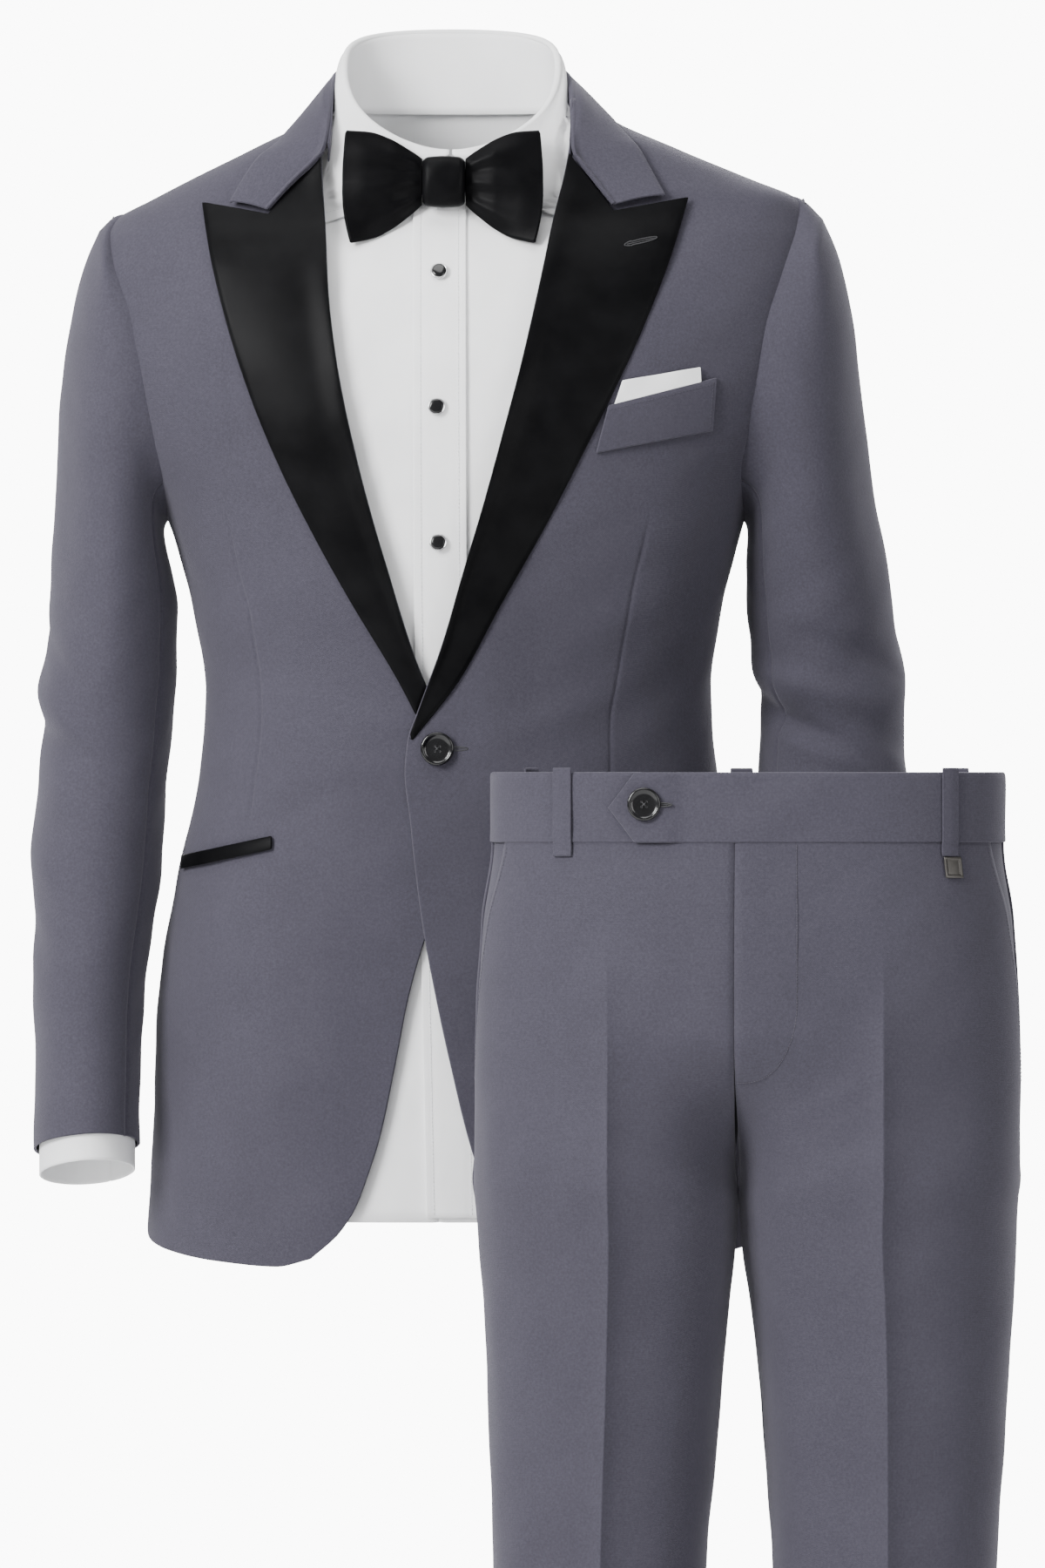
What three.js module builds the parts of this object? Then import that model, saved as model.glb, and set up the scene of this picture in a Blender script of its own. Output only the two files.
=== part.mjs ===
// A tuxedo in worn form: a one-button dinner jacket with peaked lapels over a dress shirt with a
// bow tie, and flat-front trousers that hang in front of the jacket's lower left. Every piece of
// cloth is a thin wall, open at neck, cuffs and hems. Millimetres, +Z up, the front faces -Y, and
// the wearer's left is +X. The origin is the middle of the neck, level with the shoulder seams.
import * as THREE from "three";

// Driving dimensions: a jacket for a 100 cm chest and trousers for an 84 cm waist.
const JACKET_CLOTH = 2.4;
const SLEEVE_CLOTH = 2.2;
const COLLAR_THICK = 2.4;
const STAND_THICK = 1.2;
const SATIN = 1.8;
const SHIRT_CLOTH = 1.2;
const PLACKET_CLOTH = 1;
const CUFF_CLOTH = 1.5;
const TROUSER_CLOTH = 1.6;
const FACING_CLOTH = 1.4;
const BAND_THICK = 2.6;
const LOOP_THICK = 1.5;
const SHIRT_INSET = 8;
const SHOULDER_TIP = { right: -86, left: -74 };
const UNDERARM = -282;
const ARMHOLE_SPREAD = 33.5;
const SIDE_GAP = 0.45;
const LAP_LIFT = 3.4;
const LAPEL_LIFT = 2.7;
const BOXINESS = 0.06;
const CENTRE_FRONT = -7.5;
const STAND_FOOT = -5.6;
const NECK_HALF = 76;
const NECK_SIDE = -13;
const SHIRT_HEM = -747;
const SHIRT_TOP = -18;
const TROUSER_AT = { x: 193, y: -229.6, z: -453 };
const WAISTBAND_HEIGHT = 44;
const BAND_OUT = 0.9;
const FLY_TURN = -3.4;

// The torso's rings: half-widths on the wearer's right and left, and depths front and back.
const TORSO = [
  { z: 12, right: 70, left: 70, front: 49, back: 60 },
  { z: 0, right: 80, left: 82, front: 52, back: 64 },
  { z: -20, right: 95, left: 106, front: 54, back: 70 },
  { z: -40, right: 132, left: 151, front: 57, back: 76 },
  { z: -60, right: 172, left: 199, front: 61, back: 84 },
  { z: -74, right: 199, left: 231, front: 66, back: 90 },
  { z: -86, right: 222, left: 237, front: 72, back: 95 },
  { z: -100, right: 234, left: 240, front: 82, back: 100 },
  { z: -125, right: 240, left: 241, front: 97, back: 106 },
  { z: -160, right: 240, left: 238, front: 111, back: 112 },
  { z: -195, right: 233, left: 230, front: 119, back: 114 },
  { z: -230, right: 218, left: 216, front: 122, back: 112 },
  { z: -260, right: 200, left: 201, front: 122, back: 108 },
  { z: -282, right: 189, left: 195, front: 121, back: 105 },
  { z: -340, right: 172, left: 180, front: 117, back: 97 },
  { z: -400, right: 163, left: 172, front: 112, back: 91 },
  { z: -450, right: 166, left: 176, front: 112, back: 92 },
  { z: -520, right: 181, left: 187, front: 115, back: 102 },
  { z: -600, right: 194, left: 198, front: 118, back: 114 },
  { z: -700, right: 198, left: 203, front: 118, back: 120 },
  { z: -780, right: 202, left: 206, front: 117, back: 121 },
];

// Front edges of the two jacket fronts: roll line, button lap, then the cutaway to the hem.
const RIGHT_EDGE = [
  { z: -6, x: -79 },
  { z: -25, x: -83 },
  { z: -45, x: -86 },
  { z: -92, x: -83 },
  { z: -138, x: -80.5 },
  { z: -184, x: -75 },
  { z: -230, x: -66 },
  { z: -276, x: -54.6 },
  { z: -322, x: -41 },
  { z: -368, x: -27 },
  { z: -398, x: -15 },
  { z: -425, x: 2 },
  { z: -450, x: 10 },
  { z: -490, x: 9 },
  { z: -525, x: -2 },
  { z: -555, x: -15 },
  { z: -598, x: -27.6 },
  { z: -644, x: -36.8 },
  { z: -690, x: -46.6 },
  { z: -713, x: -53.5 },
  { z: -736, x: -62 },
  { z: -755, x: -74 },
  { z: -771, x: -92 },
];
const LEFT_EDGE = [
  { z: -6, x: 80 },
  { z: -25, x: 80 },
  { z: -44, x: 78 },
  { z: -92, x: 67 },
  { z: -138, x: 57.5 },
  { z: -184, x: 47 },
  { z: -230, x: 35 },
  { z: -276, x: 22.4 },
  { z: -322, x: 8.6 },
  { z: -368, x: -4.6 },
  { z: -414, x: -21 },
  { z: -432, x: -27 },
  { z: -453, x: -28.7 },
  { z: -484, x: -25.3 },
  { z: -513, x: -22.4 },
  { z: -555, x: -17 },
  { z: -598, x: -9.2 },
  { z: -644, x: 0.6 },
  { z: -690, x: 11.5 },
  { z: -713, x: 18.5 },
  { z: -736, x: 27 },
  { z: -755, x: 39 },
  { z: -771, x: 57 },
];
// The hem's height from the front corner, share 0, round to the side seam, share 1.
const HEM = [
  { share: 0, z: -771 },
  { share: 0.1, z: -776 },
  { share: 0.3, z: -773 },
  { share: 0.6, z: -766 },
  { share: 0.88, z: -758 },
  { share: 1, z: -750 },
];
const FRONT_FOOT = -771;
const BACK_HEM = -752;
const HEM_BLEND = 120;

// Outer edges of the satin lapels, from the button to the tip of the peak.
const RIGHT_LAPEL = [
  { z: -416, x: -22 },
  { z: -391, x: -35 },
  { z: -345, x: -63 },
  { z: -299, x: -89 },
  { z: -253, x: -112 },
  { z: -207, x: -131 },
  { z: -161, x: -146 },
  { z: -115, x: -157.5 },
  { z: -76.5, x: -164 },
];
const LEFT_LAPEL = [
  { z: -431, x: -25 },
  { z: -391, x: 6.3 },
  { z: -345, x: 32 },
  { z: -299, x: 58 },
  { z: -253, x: 82 },
  { z: -207, x: 105 },
  { z: -161, x: 126 },
  { z: -115, x: 143.8 },
  { z: -73.6, x: 156.4 },
];
// Each lapel's top, where the roll line ends, the notch with its share of the width, and the tip,
// and the heights at which its inner and outer edges end below.
const LAPEL_TOP = {
  right: { rollX: -86, rollZ: -46, notchX: -120, notchZ: -85, notchAt: 0.54, tipZ: -76.5 },
  left: { rollX: 78, rollZ: -45, notchX: 107, notchZ: -83, notchAt: 0.37, tipZ: -73.6 },
};
const LAPEL_FOOT = {
  right: { inner: -388, outer: -405 },
  left: { inner: -428, outer: -431 },
};

// The collar fall from the wearer's right notch, round the back of the neck, to the left notch:
// its inner edge is the fold, and its outer edge lies on the shoulders.
const COLLAR_FALL = [
  { index: 0, innerX: -120.5, innerY: -69, innerZ: -81, outerX: -146, outerY: -60, outerZ: -76 },
  { index: 1, innerX: -103, innerY: -64, innerZ: -61.5, outerX: -137, outerY: -52, outerZ: -60 },
  { index: 2, innerX: -86, innerY: -60, innerZ: -42, outerX: -126, outerY: -42, outerZ: -43 },
  { index: 3, innerX: -84, innerY: -42, innerZ: -19, outerX: -114, outerY: -27, outerZ: -27 },
  { index: 4, innerX: -84, innerY: -10, innerZ: 2, outerX: -103, outerY: 0, outerZ: -14 },
  { index: 5, innerX: -79.5, innerY: 30, innerZ: 14, outerX: -96, outerY: 42, outerZ: -17 },
  { index: 6, innerX: -52, innerY: 61, innerZ: 22, outerX: -64, outerY: 80, outerZ: -20 },
  { index: 7, innerX: 0, innerY: 71, innerZ: 26, outerX: 0, outerY: 92, outerZ: -22 },
  { index: 8, innerX: 52, innerY: 61, innerZ: 22, outerX: 64, outerY: 80, outerZ: -20 },
  { index: 9, innerX: 79.5, innerY: 30, innerZ: 14, outerX: 96, outerY: 42, outerZ: -16 },
  { index: 10, innerX: 84, innerY: -10, innerZ: 3, outerX: 104, outerY: 0, outerZ: -11 },
  { index: 11, innerX: 83, innerY: -42, innerZ: -18, outerX: 114, outerY: -27, outerZ: -22 },
  { index: 12, innerX: 80, innerY: -60, innerZ: -41, outerX: 123, outerY: -42, outerZ: -37 },
  { index: 13, innerX: 93, innerY: -64, innerZ: -60, outerX: 132, outerY: -52, outerZ: -54 },
  { index: 14, innerX: 107, innerY: -69, innerZ: -78, outerX: 141, outerY: -62, outerZ: -71.5 },
];

// Sleeves as rings between an outer and an inner point. `slant` tips a ring's front up.
const SLEEVE_RIGHT = [
  { outerX: -233, outerZ: -94, innerX: -191, innerZ: -288, midY: 0, depth: 74, slant: 0 },
  { outerX: -243, outerZ: -118, innerX: -190.5, innerZ: -293, midY: 1, depth: 74, slant: 0 },
  { outerX: -252.6, outerZ: -155, innerX: -189.5, innerZ: -300, midY: 1.2, depth: 73, slant: 0 },
  { outerX: -259.7, outerZ: -206, innerX: -187.5, innerZ: -309, midY: 2.3, depth: 71, slant: 0 },
  { outerX: -262, outerZ: -262, innerX: -184.5, innerZ: -322, midY: 4, depth: 68, slant: 0 },
  { outerX: -265, outerZ: -318, innerX: -181, innerZ: -345, midY: 5, depth: 65, slant: 0 },
  { outerX: -269, outerZ: -372, innerX: -181, innerZ: -382, midY: 6, depth: 62, slant: 0 },
  { outerX: -271, outerZ: -414, innerX: -184, innerZ: -416, midY: 6, depth: 60, slant: 0.02 },
  { outerX: -274, outerZ: -460, innerX: -188, innerZ: -460, midY: 0, depth: 58, slant: 0.1 },
  { outerX: -276.5, outerZ: -510, innerX: -191, innerZ: -510, midY: -9, depth: 56, slant: 0.15 },
  { outerX: -276.5, outerZ: -555, innerX: -197, innerZ: -555, midY: -17, depth: 54, slant: 0.17 },
  { outerX: -276, outerZ: -600, innerX: -202.5, innerZ: -600, midY: -26, depth: 52, slant: 0.19 },
  { outerX: -275, outerZ: -650, innerX: -204.5, innerZ: -650, midY: -36, depth: 50, slant: 0.2 },
  { outerX: -275, outerZ: -701, innerX: -204.5, innerZ: -696, midY: -46, depth: 49, slant: 0.2 },
];
const SLEEVE_LEFT = [
  { outerX: 246, outerZ: -86, innerX: 197, innerZ: -288, midY: 0, depth: 74, slant: 0 },
  { outerX: 257, outerZ: -112, innerX: 196.5, innerZ: -294, midY: 1, depth: 74, slant: 0 },
  { outerX: 267, outerZ: -158, innerX: 196, innerZ: -302, midY: 2, depth: 73, slant: 0 },
  { outerX: 273, outerZ: -207, innerX: 195.5, innerZ: -313, midY: 3, depth: 71, slant: 0 },
  { outerX: 280, outerZ: -262, innerX: 195.5, innerZ: -328, midY: 4, depth: 68, slant: 0 },
  { outerX: 290, outerZ: -318, innerX: 197, innerZ: -348, midY: 5, depth: 65, slant: 0 },
  { outerX: 295, outerZ: -368, innerX: 200, innerZ: -382, midY: 7, depth: 62, slant: 0 },
  { outerX: 300, outerZ: -412, innerX: 205, innerZ: -418, midY: 7, depth: 60, slant: 0.02 },
  { outerX: 300, outerZ: -455, innerX: 203, innerZ: -455, midY: 2, depth: 58, slant: 0.1 },
  { outerX: 295, outerZ: -508, innerX: 206, innerZ: -508, midY: -6, depth: 56, slant: 0.13 },
  { outerX: 290, outerZ: -555, innerX: 208, innerZ: -555, midY: -13, depth: 54, slant: 0.15 },
  { outerX: 286, outerZ: -600, innerX: 209, innerZ: -600, midY: -20, depth: 52, slant: 0.16 },
  { outerX: 282, outerZ: -650, innerX: 209, innerZ: -650, midY: -28, depth: 50, slant: 0.16 },
  { outerX: 279, outerZ: -698, innerX: 208, innerZ: -693, midY: -36, depth: 49, slant: 0.16 },
];
// The sleeves' folds: where each lies round the sleeve (degrees from outside, front positive),
// its height, half-length round, half-width along, rise over its length, and depth outward.
const FOLDS_RIGHT = [
  { at: 20, z: -405, reach: 70, width: 13, rise: -26, depth: 4.5 },
  { at: 50, z: -440, reach: 55, width: 12, rise: -20, depth: -4.5 },
  { at: 90, z: -345, reach: 22, width: 55, rise: 0, depth: 3.5 },
  { at: 35, z: -520, reach: 50, width: 18, rise: -24, depth: 3 },
  { at: -90, z: -420, reach: 60, width: 14, rise: 20, depth: -4 },
];
const FOLDS_LEFT = [
  { at: 115, z: -424, reach: 62, width: 9, rise: 26, depth: -7.5 },
  { at: 100, z: -398, reach: 60, width: 12, rise: 16, depth: 4.5 },
  { at: 60, z: -446, reach: 60, width: 12, rise: 16, depth: 4.5 },
  { at: 30, z: -300, reach: 26, width: 60, rise: 0, depth: -3.5 },
  { at: 10, z: -392, reach: 55, width: 16, rise: -22, depth: 4 },
  { at: -90, z: -420, reach: 60, width: 14, rise: 20, depth: -4 },
];
const TOP_SLEEVE = { from: -109.7, to: 139.7 };
const UNDER_SLEEVE = { from: 140.3, to: 249.7 };
const SLEEVE_CORE = { right: -230, left: 245 };

// The cuffs, round the sleeve's end from one side of their slit to the other.
const CUFF = { from: -118, to: 241, inset: 3.6, drop: 17, steps: [11.6, 12.8, 14] };
const CUFF_CORE = { right: -240, left: 245 };

// The shirt collar: the fold's oval and the neck seam's oval, both tipped down at the front.
const FOLD_RING = { halfWidth: 70, front: 57, back: 60 };

// The free edge of the shirt collar's leaf, in degrees from the front on each side.
const LEAF_EDGE = [
  { at: 13, x: 17, y: -61, z: -53 },
  { at: 30, x: 46, y: -61, z: -65 },
  { at: 46, x: 76, y: -60, z: -77 },
  { at: 58, x: 79, y: -48, z: -50 },
  { at: 72, x: 78, y: -30, z: -20 },
  { at: 90, x: 77.5, y: -1, z: 2 },
  { at: 120, x: 71, y: 35.5, z: 7 },
  { at: 150, x: 38, y: 56, z: 8 },
  { at: 180, x: 0, y: 62.5, z: 8 },
];
const LEAF_ROWS = [13, 24, 35, 46, 52, 60, 70, 80, 95, 115, 135, 158, 180];

// The placket's edges and the studs' places on the shirt front.
const PLACKET = [
  { z: -80, from: -24.7, to: 9.8 },
  { z: -300, from: -24, to: 10.5 },
  { z: -520, from: -20, to: 14.5 },
  { z: -742, from: -15.5, to: 19 },
];
const STUDS = [
  { x: -7.5, z: -124, tilt: 0.5 },
  { x: -9, z: -213, tilt: 0.1 },
  { x: -8, z: -302, tilt: 0.1 },
];
const STUD_PROFILE = [
  { radius: 5, height: 0 },
  { radius: 5.7, height: 0.8 },
  { radius: 5.3, height: 2 },
  { radius: 3.6, height: 2.7 },
];

// The bow tie: wings that swell away from a rounded knot.
const BOW = { x: -4.6, y: -62.8, z: -64, thick: 3, start: 14.4, tilt: 0.36 };
const BOW_REACH = { right: 64.5, left: 63 };
const BOW_WING = [
  { share: 0, half: 13, swell: 4.5 },
  { share: 0.2, half: 17, swell: 6 },
  { share: 0.55, half: 27, swell: 9 },
  { share: 0.85, half: 34.5, swell: 7.5 },
  { share: 1, half: 36.5, swell: 6.5 },
];
const KNOT_WIDTH = 28;
const KNOT = [
  { share: 0, half: 11, front: 4 },
  { share: 0.12, half: 15, front: 8 },
  { share: 0.5, half: 17.2, front: 11.5 },
  { share: 0.88, half: 15, front: 8 },
  { share: 1, half: 11, front: 4 },
];

// Patches on the jacket fronts by their corners: top edge from and to, then lower edge.
const WELT = [[104, -212.5], [174.8, -194], [96, -243], [172.5, -228]];
const SQUARE = [[113, -196], [164, -187], [108, -211], [164.5, -196.2]];
const JET_LEFT = [[118, -494], [184, -507], [118, -503], [184, -516]];
const JET_RIGHT = [[-118, -494], [-178.5, -507], [-118, -503], [-178.5, -516]];

const JACKET_BUTTON = { x: -8.6, z: -437 };
const JACKET_BUTTON_PROFILE = [
  { radius: 8.5, height: 0 },
  { radius: 10.8, height: 1.2 },
  { radius: 11, height: 2.6 },
  { radius: 9.8, height: 3.6 },
  { radius: 7.6, height: 3.2 },
];

// The trousers in their own frame: hips as one ring, then a ring for each leg.
const HIPS = [
  { z: 0, halfWidth: 166, front: 88, back: 90 },
  { z: -44, halfWidth: 166, front: 91, back: 97 },
  { z: -97, halfWidth: 173, front: 96, back: 109 },
  { z: -150, halfWidth: 176, front: 99, back: 117 },
  { z: -200, halfWidth: 177, front: 100, back: 119 },
  { z: -262, halfWidth: 177, front: 98, back: 114 },
];
const LEG_LEFT = [
  { z: -140, outer: 176, inner: -5, midY: 5, front: 100, back: 118 },
  { z: -262, outer: 176, inner: -4, midY: 6, front: 98, back: 108 },
  { z: -300, outer: 174, inner: -2.5, midY: 7, front: 92, back: 98 },
  { z: -346, outer: 171.7, inner: 2, midY: 8, front: 86, back: 89 },
  { z: -402, outer: 168.4, inner: 8, midY: 9, front: 80, back: 81 },
  { z: -504, outer: 162, inner: 15.5, midY: 10, front: 74, back: 74 },
  { z: -620, outer: 156, inner: 21, midY: 12, front: 69, back: 70 },
  { z: -760, outer: 150, inner: 25, midY: 13, front: 67, back: 68 },
  { z: -900, outer: 145, inner: 28, midY: 12, front: 66, back: 66 },
  { z: -1075, outer: 141, inner: 30, midY: 8, front: 65, back: 65 },
];
const LEG_RIGHT = [
  { z: -140, outer: -176.5, inner: -7, midY: 5, front: 100, back: 118 },
  { z: -262, outer: -177, inner: -8, midY: 6, front: 98, back: 108 },
  { z: -300, outer: -175, inner: -9, midY: 7, front: 92, back: 98 },
  { z: -346, outer: -171, inner: -12, midY: 8, front: 86, back: 89 },
  { z: -402, outer: -168.6, inner: -17, midY: 9, front: 80, back: 81 },
  { z: -504, outer: -165.5, inner: -26, midY: 10, front: 74, back: 74 },
  { z: -620, outer: -161, inner: -32, midY: 12, front: 69, back: 70 },
  { z: -760, outer: -156, inner: -37, midY: 13, front: 67, back: 68 },
  { z: -900, outer: -152, inner: -40, midY: 12, front: 66, back: 66 },
  { z: -1075, outer: -149, inner: -43, midY: 8, front: 65, back: 65 },
];
const TROUSER_ROWS = [-44.5, -80, -118, -150, -178, -205, -230, -258, -300, -350, -420, -520];
const TROUSER_HEM = { front: -1068, back: -1075 };
const CREASE = { depth: 7, width: 16, from: -95, full: -230 };
const POCKET_SLANT = { topAngle: 66, foot: -205 };
const POCKET_FACING = { top: -46, foot: -214, inset: 5.5 };

// The waistband's pointed tab, the belt loops in degrees round the waist, and the metal end.
const TAB = { tip: -88.4, corner: -73, lift: 3.1 };
const BELT_LOOPS = [-42.5, 46.5, 128, 180.9, 232];
const LOOP = { width: 11.5, heights: [3, -6, -22, -40, -49, -53] };
const LOOP_END = { at: 47, reach: 2.6, out: 2.2, thick: 1.3, heights: [-54, -60, -67] };
const WAIST_BUTTON = { x: -68.5, z: -20 };
const WAIST_BUTTON_PROFILE = [
  { radius: 8.5, height: 0 },
  { radius: 10.6, height: 1.2 },
  { radius: 10.8, height: 2.6 },
  { radius: 9.6, height: 3.6 },
  { radius: 7.4, height: 3.2 },
];

const COLOURS = {
  wool: { color: 0x5d5b69, roughness: 0.92 },
  satin: { color: 0x0b0b0d, roughness: 0.36 },
  shirt: { color: 0xf3f3f4, roughness: 0.85 },
  button: { color: 0x08080a, roughness: 0.15 },
  metal: { color: 0x6d6a66, roughness: 0.35, metalness: 0.9 },
};

const { clamp, lerp, degToRad: radians } = THREE.MathUtils;
const smooth = (t) => THREE.MathUtils.smoothstep(t, 0, 1);
const range = (count) => Array.from({ length: count }, (_, i) => i / (count - 1));
const circle = (count) => range(count + 1).slice(1);
const point = (x, y, z) => new THREE.Vector3(x, y, z);

// A smooth curve through a table's rows, without overshoot: column `name` against column `by`.
function curve(table, by, name) {
  const rows = [...table].sort((a, b) => a[by] - b[by]);
  const x = rows.map((row) => row[by]);
  const y = rows.map((row) => row[name]);
  const slope = x.slice(1).map((end, i) => (y[i + 1] - y[i]) / (end - x[i]));
  const tangent = x.map((_, i) => {
    const before = slope[Math.max(i - 1, 0)];
    const after = slope[Math.min(i, slope.length - 1)];
    return before * after <= 0 ? 0 : (2 * before * after) / (before + after);
  });
  return (at) => {
    const t = clamp(at, x[0], x[x.length - 1]);
    let i = 0;
    while (i < slope.length - 1 && t > x[i + 1]) i += 1;
    const h = x[i + 1] - x[i];
    const s = (t - x[i]) / h;
    return (
      y[i] * (1 + 2 * s) * (1 - s) ** 2 +
      tangent[i] * h * s * (1 - s) ** 2 +
      y[i + 1] * s * s * (3 - 2 * s) +
      tangent[i + 1] * h * s * s * (s - 1)
    );
  };
}

// All the columns of a table as curves against `by`.
function curves(table, by) {
  const names = Object.keys(table[0]).filter((name) => name !== by);
  return Object.fromEntries(names.map((name) => [name, curve(table, by, name)]));
}

// A point on a boxy oval ring: angle 0 is the front, 90 the wearer's left, 180 the back.
function ringPoint(angle, z, half, front, back) {
  const a = radians(angle);
  const box = 1 + BOXINESS * Math.sin(2 * a) ** 2;
  return point(half * Math.sin(a) * box, -(Math.cos(a) > 0 ? front : back) * Math.cos(a) * box, z);
}

const torso = curves(TORSO, "z");

// A point on the torso's form, moved out by `out`.
function onTorso(angle, z, out = 0) {
  const half = Math.sin(radians(angle)) < 0 ? torso.right(z) : torso.left(z);
  return ringPoint(angle, z, half + out, torso.front(z) + out, torso.back(z) + out);
}

// The angle at which the torso's front has the given x at height z.
function angleAt(x, z, out = 0) {
  let low = -90;
  let high = 90;
  for (let i = 0; i < 40; i += 1) {
    const mid = (low + high) / 2;
    if (onTorso(mid, z, out).x < x) low = mid;
    else high = mid;
  }
  return (low + high) / 2;
}

const onFront = (x, z, out = 0) => onTorso(angleAt(x, z, out), z, out);

// A closed wall behind a grid of outer points, thickened towards `core`. With `guides`, the first
// and last point of each row only steer the edges' direction, so that seams lie face to face.
function wall(grid, thickness, core, guides = false) {
  const ends = (i, n) => [Math.max(i - 1, 0), Math.min(i + 1, n - 1)];
  const facings = grid.map((row, j) =>
    row.map((_, i) => {
      const [i0, i1] = ends(i, row.length);
      const [j0, j1] = ends(j, grid.length);
      const across = row[i1].clone().sub(row[i0]);
      return across.cross(grid[j1][i].clone().sub(grid[j0][i])).normalize();
    }),
  );
  const kept = (row) => (guides ? row.slice(1, -1) : row);
  const rows = grid.map(kept);
  const normals = facings.map(kept);
  const count = rows.length;
  const width = rows[0].length;
  const outer = rows.flat();
  const normal = normals.flat();
  const facing = outer.reduce((sum, p, k) => sum + normal[k].dot(p.clone().sub(core)), 0);
  const shift = -Math.sign(facing) * thickness;
  const inner = outer.map((p, k) => p.clone().addScaledVector(normal[k], shift));
  const triangles = [];
  const quad = (a, b, c, d) => triangles.push([a, b, c], [a, c, d]);
  const total = outer.length;
  const at = (j, i) => j * width + i;
  for (let j = 0; j < count - 1; j += 1) {
    for (let i = 0; i < width - 1; i += 1) {
      const loop = [at(j, i), at(j, i + 1), at(j + 1, i + 1), at(j + 1, i)];
      quad(...loop);
      quad(...loop.map((k) => k + total).reverse());
    }
  }
  const rim = [];
  for (let i = 0; i < width - 1; i += 1) rim.push([at(0, i), at(0, i + 1)]);
  for (let j = 0; j < count - 1; j += 1) rim.push([at(j, width - 1), at(j + 1, width - 1)]);
  for (let i = width - 1; i > 0; i -= 1) rim.push([at(count - 1, i), at(count - 1, i - 1)]);
  for (let j = count - 1; j > 0; j -= 1) rim.push([at(j, 0), at(j - 1, 0)]);
  rim.forEach(([a, b]) => quad(b, a, a + total, b + total));
  return solid([...outer, ...inner], triangles);
}

// A closed loft through rings of points, each a closed loop, with flat ends.
function loft(rings) {
  const points = rings.flat();
  const n = rings[0].length;
  const triangles = [];
  for (let j = 0; j < rings.length - 1; j += 1) {
    for (let i = 0; i < n; i += 1) {
      const [a, b] = [j * n + i, j * n + ((i + 1) % n)];
      triangles.push([a, b, b + n], [a, b + n, a + n]);
    }
  }
  const last = (rings.length - 1) * n;
  for (let i = 1; i < n - 1; i += 1) {
    triangles.push([0, i + 1, i], [last, last + i, last + i + 1]);
  }
  return solid(points, triangles);
}

// An indexed geometry from points and triangles, turned so that its faces point out.
function solid(points, triangles) {
  const volume = triangles.reduce((sum, [a, b, c]) => {
    return sum + points[a].dot(points[b].clone().cross(points[c]));
  }, 0);
  const faces = volume < 0 ? triangles.map(([a, b, c]) => [a, c, b]) : triangles;
  const geometry = new THREE.BufferGeometry().setFromPoints(points);
  geometry.setIndex(faces.flat());
  geometry.computeVertexNormals();
  return geometry;
}

const tuxedo = new THREE.Group();
const trousers = new THREE.Group();
trousers.position.set(TROUSER_AT.x, TROUSER_AT.y, TROUSER_AT.z);
tuxedo.add(trousers);

function add(name, geometry, finish, group = tuxedo) {
  const mesh = new THREE.Mesh(geometry, new THREE.MeshStandardMaterial(COLOURS[finish]));
  mesh.name = name;
  group.add(mesh);
}

// The armhole on one side: phase 0 is the shoulder tip, 90 the front, 180 the underarm.
function armhole(side, phase) {
  const tip = SHOULDER_TIP[side];
  const middle = (tip + UNDERARM) / 2;
  const z = middle + ((tip - UNDERARM) / 2) * Math.cos(radians(phase));
  const spread = ARMHOLE_SPREAD * Math.sin(radians(phase));
  const sign = side === "left" ? 1 : -1;
  return onTorso(sign * (90 - spread), z);
}

// The angle of a panel's side boundary at height z: side seam, armhole or shoulder seam.
function sideAngle(side, z, front) {
  const tip = SHOULDER_TIP[side];
  if (z >= tip || z <= UNDERARM) return 90;
  const middle = (tip + UNDERARM) / 2;
  const share = clamp((z - middle) / ((tip - UNDERARM) / 2), -1, 1);
  const spread = ARMHOLE_SPREAD * Math.sqrt(1 - share * share);
  return front ? 90 - spread : 90 + spread;
}

// Heights of a panel's rows at its middle and at its side: down the shoulder, round the armhole
// at the sleeve's own steps, and then level down to `foot`.
function panelRows(side, top, foot, below) {
  const tip = SHOULDER_TIP[side];
  const centre = (tip + UNDERARM) / 2;
  const shoulder = range(5).map((t) => lerp(top, tip, t));
  const radius = (tip - UNDERARM) / 2;
  const arm = circle(9).map((t) => centre + radius * Math.cos(Math.PI * t));
  const upper = [...shoulder, ...arm].map((z, i, all) => {
    return { side: z, middle: lerp(top, UNDERARM, i / (all.length - 1)) };
  });
  const body = circle(below - 1).map((t) => lerp(UNDERARM, foot, t));
  return [...upper, ...body.map((z) => ({ side: z, middle: z }))];
}

const lap = (x) => LAP_LIFT * smooth((62 - x) / 45);
const hem = curve(HEM, "share", "z");
const edges = { right: curve(RIGHT_EDGE, "z", "x"), left: curve(LEFT_EDGE, "z", "x") };

// Outer points of a jacket front, from its front edge round to the side.
function jacketFront(side, columns) {
  const sign = side === "left" ? 1 : -1;
  return panelRows(side, -7, FRONT_FOOT, 13).map((row) => {
    const start = angleAt(edges[side](row.middle), row.middle);
    const end = sign * (sideAngle(side, row.side, true) - SIDE_GAP);
    const dip = 1 - smooth((row.side - FRONT_FOOT) / HEM_BLEND);
    return range(columns).map((u) => {
      const z = lerp(row.middle, row.side, u * u) + (hem(u) - FRONT_FOOT) * dip;
      const angle = lerp(start, end, u);
      return onTorso(angle, z, side === "left" ? lap(onTorso(angle, z).x) : 0);
    });
  });
}

const JACKET_CORE = point(0, 0, -400);
add("jacket_front_right", wall(jacketFront("right", 9), JACKET_CLOTH, JACKET_CORE), "wool");
add("jacket_front_left", wall(jacketFront("left", 9), JACKET_CLOTH, JACKET_CORE), "wool");

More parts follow.
